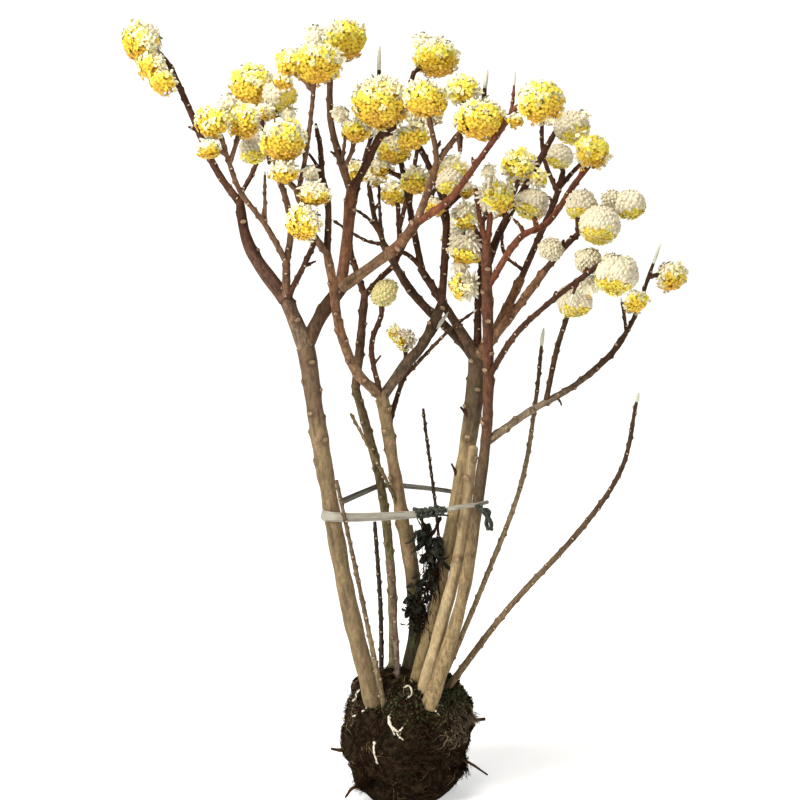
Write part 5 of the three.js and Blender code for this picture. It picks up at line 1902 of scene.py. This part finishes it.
@dataclass
class RootBall:
    """The soil ball on its flat underside, with roots, moss and the pale root bits on its front.

    The profile's rows are shares of the height and of the radius, from the underside up. A wave
    swells the sides so many times round, leans by height and starts at an angle. A broken root has
    its degrees round, height, reach, girth and how far it rises.
    """

    radius: float = 80
    underside: float = 51
    height: float = 150
    lump: float = 2.7
    rings: int = 120
    sides: int = 210
    profile: tuple = ((0.08, 0.74), (0.28, 0.86), (0.55, 1.03), (0.74, 0.93), (0.88, 0.76), (0.96, 0.45))
    waves: tuple = ((3, 0, 1), (5, 0.059, 0), (2, -0.043, 2))
    broken: tuple = (
        (4, 88, 20, 9, 2),
        (-12, 44, 24, 5, -16),
        (176, 50, 12, 7, 2),
        (98, 62, 15, 6, -7),
        (215, 20, 9, 6, -10),
    )
    broken_sides: int = 16
    fibres: int = 1550
    fibre_steps: int = 8
    tufts: int = 800
    seed: int = 2113

    def __post_init__(self) -> None:
        """Seeds the roughness of the soil."""
        self.random = np.random.default_rng(self.seed)
        self.bumps = [
            (self.random.normal(0, 1 / size, 3), self.random.uniform(0, TAU), size * 0.085)
            for size in (34, 26, 20, 15, 11, 8.5, 7, 6, 5, 4.2, 3.6, 3, 2.6, 2.3, 2) * 2
        ]

    def roughness(self, points: Array) -> Array:
        """How far the soil's crumbs stand out at points, in millimetres."""
        total = np.zeros(points.shape[:-1])
        for way, start, size in self.bumps:
            total += size * np.sin(points @ way * 2.2 + start)
        return total

    def surface(self, turn: Array, rise: Array) -> Array:
        """Points of the ball's side at angles round it and shares of its height."""
        heights = (0, *(row[0] for row in self.profile), 1)
        widths = (self.underside / self.radius, *(row[1] for row in self.profile), 0.02)
        share = np.interp(rise, heights, widths)
        z = rise * self.height
        lump = sum(np.sin(count * turn + lean * z + start) for count, lean, start in self.waves)
        out = share * self.radius + self.lump * lump * share
        points = np.stack([out * np.cos(turn), out * np.sin(turn), z], -1)
        way = unit(np.stack([np.cos(turn) * share, np.sin(turn) * share, (rise - 0.5) * 0.9], -1))
        calm = smooth(rise / 0.05)
        return points + way * (self.roughness(points) * calm)[..., None]

    def soil(self) -> Shape:
        """The soil itself, closed by its flat underside."""
        rise = np.concatenate([[0], np.linspace(0.002, 1, self.rings - 1) ** 0.9])
        rings = self.surface(*np.broadcast_arrays(turns_round(self.sides), rise[:, None]))
        rings[0, :, 2] = 0
        shape = Shape()
        shape.add_skin(rings, [(0, 0, 0), rings[-1].mean(0)], turned=True)
        return shape

    def strands(
        self,
        count: int,
        girth: tuple[float, float],
        stray: float,
        turns: tuple[float, float] = (0, TAU),
        rises: tuple[float, float] = (0.08, 0.97),
    ) -> tuple[Array, Array]:
        """Roots that wander over the ball's side.

        Args:
            count: How many there are.
            girth: The least and greatest thickness.
            stray: How far their ends stand off the soil.
            turns: The angles round the ball between which they start.
            rises: The shares of its height between which they start.

        Returns:
            Their points and radii.
        """
        steps, low = self.fibre_steps, 0.04
        turn = self.random.uniform(*turns, count)
        rise = self.random.uniform(*rises, count)
        heading = self.random.uniform(0, TAU, count)
        pace = self.random.uniform(1.6, 5.0, count)
        points = []
        for step in range(steps):
            points.append(self.surface(turn, np.clip(rise, low, 0.99)))
            heading = heading + self.random.normal(0, 0.4, count)
            turn = turn + np.cos(heading) * pace / self.radius
            rise = rise + np.sin(heading) * pace / self.height
        points = np.stack(points, 1)
        share = np.linspace(0, 1, steps)
        away = unit(points - np.array((0, 0, self.height / 2)))
        arch = self.random.uniform(0.2, 1.8, (count, 1)) * np.sin(share * math.pi * 1.3)
        free = self.random.random((count, 1)) ** 4 * stray * share**2
        points = points + away * (arch + free)[..., None]
        points[..., 2] = np.maximum(points[..., 2], 1.0)
        thick = self.random.uniform(*girth, (count, 1)) / 2
        return points, thick * np.interp(share, (0, 0.1, 1), (0.6, 1, 0.35))

    def broken_roots(self) -> Shape:
        """The thick broken roots that stand out of the side."""
        shape, turn = Shape(), turns_round(self.broken_sides)
        shares = np.linspace(0, 1, 26)
        knots = 0.14 * np.sin(turn * 3 + shares[:, None] * 9)
        ribs = 0.08 * np.sin(turn * 5 - shares[:, None] * 14)
        for degrees, height, reach, girth, rises in self.broken:
            angle = math.radians(degrees)
            out = np.array((math.cos(angle), math.sin(angle), 0))
            ends = [(0.6 * self.radius, height), (0.95 * self.radius, height)]
            ends.append((self.radius + reach, height + rises))
            path = Path([out * away + (0, 0, up) for away, up in ends])
            radii = girth / 2 * (1 - 0.6 * shares)[:, None] * (1 + knots + ribs)
            shape.add_tube(path.at(shares), radii, self.broken_sides)
        return shape

    def front_point(self, across: float, up: float, proud: float) -> Array:
        """The point of the ball's front that is seen at a place, proud of the soil."""
        depth = -0.8 * self.radius
        for _ in range(12):
            point = place((across, up, depth))
            turn = np.array([math.atan2(depth, point[0])])
            on_side = self.surface(turn, np.clip(point[2:] / self.height, 0.02, 0.97))[0]
            reach = float(np.hypot(on_side[0], on_side[1]))
            depth = -math.sqrt(max(reach**2 - point[0] ** 2, 100.0))
        return place((across, up, depth - proud))

    def pale_bits(self) -> Shape:
        """The torn white roots on the front, each a short crooked tapering strand."""
        shape = Shape()
        for girth, places in PALE_BITS:
            points = [self.front_point(across, up, girth * 0.35) for across, up in places]
            path = Path(points)
            shares = np.linspace(0, 1, 8 * len(points))
            fade = np.minimum(1, np.minimum(shares, 1 - shares) * 6 + 0.25)
            radii = girth / 2 * fade * (1 + 0.22 * np.sin(shares * 23 + girth))
            shape.add_tube(path.at(shares), radii, 8)
        return shape

    def moss(self) -> Shape:
        """Tufts of moss on the shoulder of the ball, thickest at the right."""
        turn = self.random.normal(-0.45, 0.9, self.tufts)
        rise = np.clip(self.random.normal(0.88, 0.07, self.tufts), 0.5, 0.985)
        feet = self.surface(turn, rise)
        lean = unit(unit(feet - (0, 0, 60)) + self.random.normal(0, 0.45, (self.tufts, 3)))
        length = self.random.uniform(1.5, 4.5, (self.tufts, 1))
        points = np.stack([feet - lean, feet + lean * length * 0.5, feet + lean * length], 1)
        radii = np.tile((2.1, 1.5, 0.3), (self.tufts, 1)) * self.random.uniform(0.6, 1.3, (self.tufts, 1))
        shape = Shape()
        shape.add_tubes(points, radii, 4)
        return shape

    def tufted_end(self, shape: Shape, foot: Place, tip: Place, count: int, spread: float) -> None:
        """Adds a torn tuft of fibres from a foot to a tip."""
        start, end = place(foot), place(tip)
        share = np.linspace(0, 1, 7)
        ends = end + self.random.normal(0, spread, (count, 3))
        starts = start + self.random.normal(0, spread * 0.5, (count, 3))
        sag = self.random.normal(0, 1.5, (count, 1, 3)) * np.sin(share * math.pi)[:, None]
        points = starts[:, None] + (ends - starts)[:, None] * share[:, None] + sag
        points[..., 2] = np.maximum(points[..., 2], 0.8)
        radii = self.random.uniform(0.25, 0.6, (count, 1)) * np.linspace(1, 0.4, 7)
        shape.add_tubes(points, radii, 4)

    def build(self) -> None:
        """Builds the ball and everything on it."""
        kinds = {"root_ball_soil": (self.soil(), SOIL), "root_ball_moss": (self.moss(), MOSS)}
        for name, share, girth, stray, finish in (
            ("root_ball_dark_roots", 0.66, (0.5, 1.8), 9, DARK_ROOT),
            ("root_ball_red_roots", 0.3, (0.5, 1.3), 10, RED_ROOT),
            ("root_ball_pale_roots", 0.04, (0.4, 0.9), 7, PALE_ROOT),
        ):
            shape = Shape()
            shape.add_tubes(*self.strands(int(self.fibres * share), girth, stray), 3)
            kinds[name] = (shape, finish)
        matted = Shape()
        for share, turns, rises in ((0.16, (-0.95, 0.1), (0.56, 0.88)), (0.05, (2.6, 3.5), (0.6, 0.9))):
            matted.add_tubes(*self.strands(int(self.fibres * share), (0.4, 1.1), 6, turns, rises), 3)
        self.tufted_end(matted, (66, 92, -8), (86, 86, -10), 130, 3.4)
        kinds["root_ball_grey_roots"] = (matted, GREY_ROOT)
        dark = kinds["root_ball_dark_roots"][0]
        self.tufted_end(dark, (-36, 14, -46), (-56, 4, -50), 120, 4.0)
        self.tufted_end(dark, (66, 44, -6), (72, 22, -10), 60, 4.0)
        kinds["root_ball_broken_roots"] = (self.broken_roots(), RED_ROOT)
        kinds["root_ball_white_roots"] = (self.pale_bits(), WHITE_ROOT)
        for name, (shape, finish) in kinds.items():
            settle(shape, name, finish, "soil", "root_ball")


# The pale torn roots on the ball's front: girth, then the (across, up) places each runs through.
PALE_BITS = [
    (3.8, [(-17, 92), (-19, 84), (-15, 75), (-7, 70)]),
    (1.8, [(-15, 73), (-12, 66)]),
    (1.8, [(-11, 72), (-8, 66), (-5, 62)]),
    (2.0, [(-8, 70), (-3, 75), (0, 82)]),
    (1.5, [(-4, 72), (-6, 65), (-1, 60)]),
    (2.2, [(-37, 57), (-37, 46), (-33, 34)]),
    (3.0, [(-38, 58), (-35, 56)]),
    (2.6, [(-35, 36), (-32, 32)]),
    (2.8, [(-54, 121), (-58, 115), (-56, 109)]),
    (2.4, [(-63, 107), (-58, 111)]),
    (2.6, [(-64, 88), (-59, 90)]),
    (2.6, [(-53, 94), (-48, 96)]),
    (2.4, [(-47, 98), (-43, 101)]),
    (2.6, [(-76, 88), (-72, 84)]),
    (2.8, [(-2, 123), (5, 125), (8, 116), (0, 108)]),
    (4.4, [(37, 102), (46, 100)]),
    (1.5, [(16, 112), (28, 104), (42, 90)]),
]


# Tie and tangle


@dataclass
class Tie:
    """The flat packing tape around the stems: its strips, knot and loose ends.

    A strip has its name, its finish, how wide it is at its two ends, and the places it runs through.
    """

    strips: tuple = (
        (
            "tie_front", TAPE, 14.5, 9.0,
            [(-88, 336, -24), (-99, 330, -42), (-84, 328, -58), (-40, 329, -52), (16, 331, -40)],
        ),
        (
            "tie_right", TAPE, 6.0, 4.5,
            [(45, 336, -38), (66, 340, -47), (88, 343, -48), (100, 346, -38)],
        ),
        (
            "tie_back", SHADED_BACK_TAPE, 8.5, 5.0,
            [(-76, 346, -22), (-48, 358, 22), (-24, 366, 60), (14, 364, 54), (48, 360, 34), (68, 356, 14)],
        ),
    )
    thickness: float = 0.7
    layers: int = 3
    steps: int = 70
    rows: int = 11
    strip_seed: int = 5
    knot_seed: int = 41
    knot_place: Place = (31, 334, -38)
    knot_loops: int = 11
    knot_length: float = 40
    knot_depth: float = 5.2
    knot_height: float = 5.4
    knot_radius: float = 2.2
    tag_seed: int = 77
    tag_places: tuple = ((86, 342, -52), (98, 332, -52), (102, 312, -50))
    tag_folds: int = 6
    tag_girth: Girth = (2.6, 6.4, 4.2)

    def strip(self, wide: float, narrow: float, places: list[Place], seed: int) -> Shape:
        """A strip of tape on edge, made of layers that slip and fold over one another."""
        random = np.random.default_rng(seed)
        path = Path(points_at(places))
        shares = np.linspace(0, 1, self.steps)
        middle, along = path.at(shares), path.along(shares)
        out = unit(np.cross(along, (0, 0, 1)))
        shape = Shape()
        for layer in range(self.layers):
            part = 1 - 0.2 * layer
            height = np.linspace(wide, narrow, self.steps) * part
            drift = random.uniform(-0.12, 0.12) * wide * np.sin(shares * random.uniform(3, 7) + layer)
            across = np.linspace(-0.5, 0.5, self.rows)
            z = height[:, None] * across + drift[:, None]
            wrinkle = 0.35 * np.sin(across * 24 + 5 * shares[:, None] + layer * 2)
            wave = 0.5 * np.sin(shares * 19 + layer * 1.7)[:, None] * np.cos(across * 3)
            off = wrinkle + wave + (layer - 1) * 0.9
            lean = random.uniform(-1.4, 1.4) * across
            points = middle[:, None] + out[:, None] * (off + lean)[..., None] + z[..., None] * (0, 0, 1)
            half = out[:, None] * self.thickness / 2
            rings = np.concatenate([points + half, (points - half)[:, ::-1]], 1)
            shape.add_skin(rings, [rings[0].mean(0), rings[-1].mean(0)])
        return shape

    def knot(self) -> Shape:
        """The pulled-tight knot: twisted loops of tape that run over one another."""
        random = np.random.default_rng(self.knot_seed)
        shape, side = Shape(), turns_round(10)
        share = np.linspace(0, 1, 60)
        for loop in range(self.knot_loops):
            turn = share * TAU * random.uniform(1.1, 1.6) + random.uniform(0, TAU)
            size = random.uniform(0.55, 1.0)
            x = (share - 0.5) * self.knot_length * random.uniform(0.6, 1.0) + 2.4 * np.sin(3 * turn)
            y = self.knot_depth * size * np.cos(turn)
            z = self.knot_height * size * np.sin(turn) + 3.0 * (share - 0.5) + random.normal(0, 0.8)
            points = place(self.knot_place) + np.stack([x, y, z], -1)
            flat = 0.55 + 0.45 * np.abs(np.cos(side + share[:, None] * 7))
            radii = self.knot_radius * flat * (0.7 + 0.3 * np.sin(share * 17 + loop)[:, None])
            shape.add_tube(points, radii, len(side))
        return shape

    def tag(self) -> Shape:
        """The balled-up loose end that hangs down at the right."""
        random = np.random.default_rng(self.tag_seed)
        path = Path(points_at(self.tag_places))
        shape, side = Shape(), turns_round(8)
        share = np.linspace(0, 1, 34)
        wide = blend(self.tag_girth, share)
        for fold in range(self.tag_folds):
            turn = share * random.uniform(3, 8) + random.uniform(0, TAU)
            coil = np.stack([np.cos(turn), np.sin(turn), 0.4 * np.sin(2 * turn)], -1)
            points = path.at(share) + coil * (wide * 0.6)[:, None]
            flat = 0.4 + 0.6 * np.abs(np.cos(side + share[:, None] * 5 + fold))
            shape.add_tube(points, (wide * 0.5)[:, None] * flat, len(side))
        return shape

    def build(self) -> None:
        """Builds the strips, the knot and the tag."""
        for index, (name, finish, wide, narrow, places) in enumerate(self.strips):
            strip = self.strip(wide, narrow, places, self.strip_seed + index)
            settle(strip, f"{name}_tape", finish, "tape", name)
        settle(self.knot(), "tie_knot_twist", DARK_TAPE, "tape", "tie_knot")
        settle(self.tag(), "tie_tag_twist", DARK_TAPE, "withered", "tie_tag")


@dataclass
class Tangle:
    """Blackened leaves and strands caught between the stems under the knot.

    The leaves hang along the line of falls, with more of them in a clump. Each hanger is a twisted
    strand, given by how far right it starts and its girth.
    """

    leaves: int = 100
    strands: int = 130
    clump_leaves: int = 46
    clump: Place = (6, 216, -14)
    hangers: tuple = ((19, 4.4), (43, 4.0), (14, 1.6))
    falls: tuple = ((24, 316, -24), (34, 276, -20), (22, 236, -18), (20, 200, -16))
    seed: int = 909

    def build(self) -> None:
        """Builds the leaves and strands."""
        random = np.random.default_rng(self.seed)
        path = Path(points_at(self.falls))
        leaves, strands = Shape(), Shape()
        share = random.random(self.leaves) ** 1.2
        for index in range(self.leaves):
            self.leaf(leaves, path.at(share[index])[0], 1 - 0.6 * share[index], random)
        for _ in range(self.clump_leaves):
            self.leaf(leaves, place(self.clump) + random.normal(0, 1, 3) * (4, 3, 14), 0.5, random)
        share = random.random(self.strands) * 0.9
        start = path.at(share) + random.normal(0, 4, (self.strands, 3))
        aside, behind = random.normal(0, 7, self.strands), random.normal(0, 5, self.strands)
        fall = np.stack([aside, behind, -random.uniform(14, 46, self.strands)], -1)
        step = np.linspace(0, 1, 9)
        sway = random.normal(0, 3.5, (self.strands, 1, 3)) * np.sin(step * math.pi * 1.5)[:, None]
        points = start[:, None] + fall[:, None] * step[:, None] + sway
        radii = random.uniform(0.3, 0.9, (self.strands, 1)) * np.linspace(1, 0.5, 9)
        strands.add_tubes(points, radii, 4)
        for across, girth in self.hangers:
            bend = (0.6 * across + 12, 316, -34)
            hanger = Path(points_at(((across, 328, -38), bend, (30, 302, -26))))
            share = np.linspace(0, 1, 16)
            gnarl = 1 + 0.25 * np.sin(share * 21 + across)
            strands.add_tube(hanger.at(share), girth / 2 * gnarl, 7)
        settle(leaves, "tangle_leaves", DEAD_LEAF, "withered", "withered_tangle")
        settle(strands, "tangle_strands", DARK_ROOT, "withered", "withered_tangle")

    def leaf(self, shape: Shape, where: Array, size: float, random: np.random.Generator) -> None:
        """Adds one dead leaf, curled and crumpled."""
        length, width = random.uniform(15, 27) * size, random.uniform(7, 11) * size
        u, v = np.linspace(0, 1, 12), np.linspace(-1, 1, 7)
        half = width / 2 * np.sqrt(np.clip(1 - ((u - 0.45) / 0.58) ** 2, 0.01, 1))
        curl = random.uniform(0.6, 2.2)
        x = length * np.sin(u * curl) / curl
        z = length * (1 - np.cos(u * curl)) / curl
        y = half[:, None] * v
        crumple = 1.1 * np.sin(u * 17 + random.uniform(0, 6))[:, None] * np.cos(v * 4 + random.uniform(0, 6))
        roll = (v**2) * half[:, None] * random.uniform(0.2, 0.9)
        local = np.stack([x[:, None] + 0 * y, y, z[:, None] + crumple + roll], -1)
        down = unit(np.array((random.normal(0, 0.5), random.normal(0, 0.5), -1)))
        across = unit(np.cross(down, random.normal(0, 1, 3)))
        turned = local @ np.stack([down, across, np.cross(down, across)])
        offset = random.normal(0, 1, 3) * (5.0, 4.0, 4.0) * (0.4 + 0.6 * size)
        shape.add(where + offset + turned, grid_quads(len(u), len(v)))


# Floor, light and camera


@dataclass
class Studio:
    """A pale floor that curves up behind, soft light and the camera.

    A lamp has its name, place, size, power and tint.
    """

    half_width: float = 4.0
    front: float = -3.5
    back: float = 3.0
    wall: float = 4.0
    curve: float = 1.2
    daylight: float = 0.27
    aim: Place = (0, 0, 0.5)
    lamps: tuple = (
        ("lamp_above", (-0.4, -0.7, 2.7), 1.0, 50, (1, 0.98, 0.95)),
        ("lamp_left", (-2.0, -1.5, 1.6), 0.9, 60, (1, 0.99, 0.97)),
        ("lamp_right", (2.0, -1.4, 1.0), 1.4, 6, (0.97, 0.98, 1)),
    )

    def backdrop(self) -> None:
        """The floor and wall in one sheet with a soft bend between."""
        bend = np.radians(np.linspace(0, 90, 16))
        y = np.concatenate([[self.front], self.back + self.curve * np.sin(bend), [self.back + self.curve]])
        z = np.concatenate([[0], self.curve * (1 - np.cos(bend)), [self.wall]])
        x = np.linspace(-self.half_width, self.half_width, 12)
        points = np.stack(np.broadcast_arrays(x[None], y[:, None], z[:, None]), -1)
        shape = Shape()
        shape.add(points / MM, grid_quads(len(y), len(x))[:, ::-1])
        shape.build("backdrop_sheet", Paper().material())

    def lamp(self, name: str, where: Place, size: float, power: float, tint: Place) -> None:
        """A square soft lamp that points at the middle of the plant."""
        light = bpy.data.lights.new(name, "AREA")
        light.size, light.energy, light.color = size, power, tint
        lamp = bpy.data.objects.new(name, light)
        lamp.location = where
        lamp.rotation_euler = (Vector(self.aim) - Vector(where)).to_track_quat("-Z", "Y").to_euler()
        bpy.context.scene.collection.objects.link(lamp)

    def lights(self) -> None:
        """Soft light from all round, brightest from above and the front left."""
        world = bpy.context.scene.world or bpy.data.worlds.new("studio")
        bpy.context.scene.world = world
        world.use_nodes = True
        background = world.node_tree.nodes["Background"]
        background.inputs["Color"].default_value = (1, 1, 1, 1)
        background.inputs["Strength"].default_value = self.daylight
        for row in self.lamps:
            self.lamp(*row)
        bpy.context.scene.view_settings.view_transform = "Standard"

    @staticmethod
    def camera() -> None:
        """The camera, at the height and distance from which the plant is seen."""
        data = bpy.data.cameras.new("camera")
        data.lens, data.sensor_width = CAMERA_LENS, CAMERA_SENSOR
        data.clip_start, data.clip_end = 0.05, 50
        camera = bpy.data.objects.new("camera", data)
        middle = Vector(VIEW_MIDDLE) * MM
        away = Vector((0, -math.cos(VIEW_TILT), math.sin(VIEW_TILT))) * VIEW_DISTANCE * MM
        camera.location = middle + away
        camera.rotation_euler = (-away).to_track_quat("-Z", "Y").to_euler()
        bpy.context.scene.collection.objects.link(camera)
        bpy.context.scene.camera = camera

    def build(self) -> None:
        """Sets up the studio."""
        self.backdrop()
        self.lights()
        self.camera()


def main() -> None:
    """Builds the plant from the ground up, then the studio."""
    logging.basicConfig(level=logging.INFO, format="%(name)s: %(message)s")
    Studio().build()
    RootBall().build()
    old_scars, young_scars = ScarSet(), ScarSet()
    Limbs().build(old_scars, young_scars)
    Shoots().build(young_scars)
    limb_names = [limb.name for limb in LIMB_LIST]
    settle(old_scars.shape(), "leaf_scars_old", OLD_SCAR, "bark_tan", *limb_names)
    settle(young_scars.shape(), "leaf_scars_young", YOUNG_SCAR, "bark_red", *limb_names)
    Tie().build()
    Tangle().build()
    bpy.context.view_layer.update()


if __name__ == "__main__":
    main()
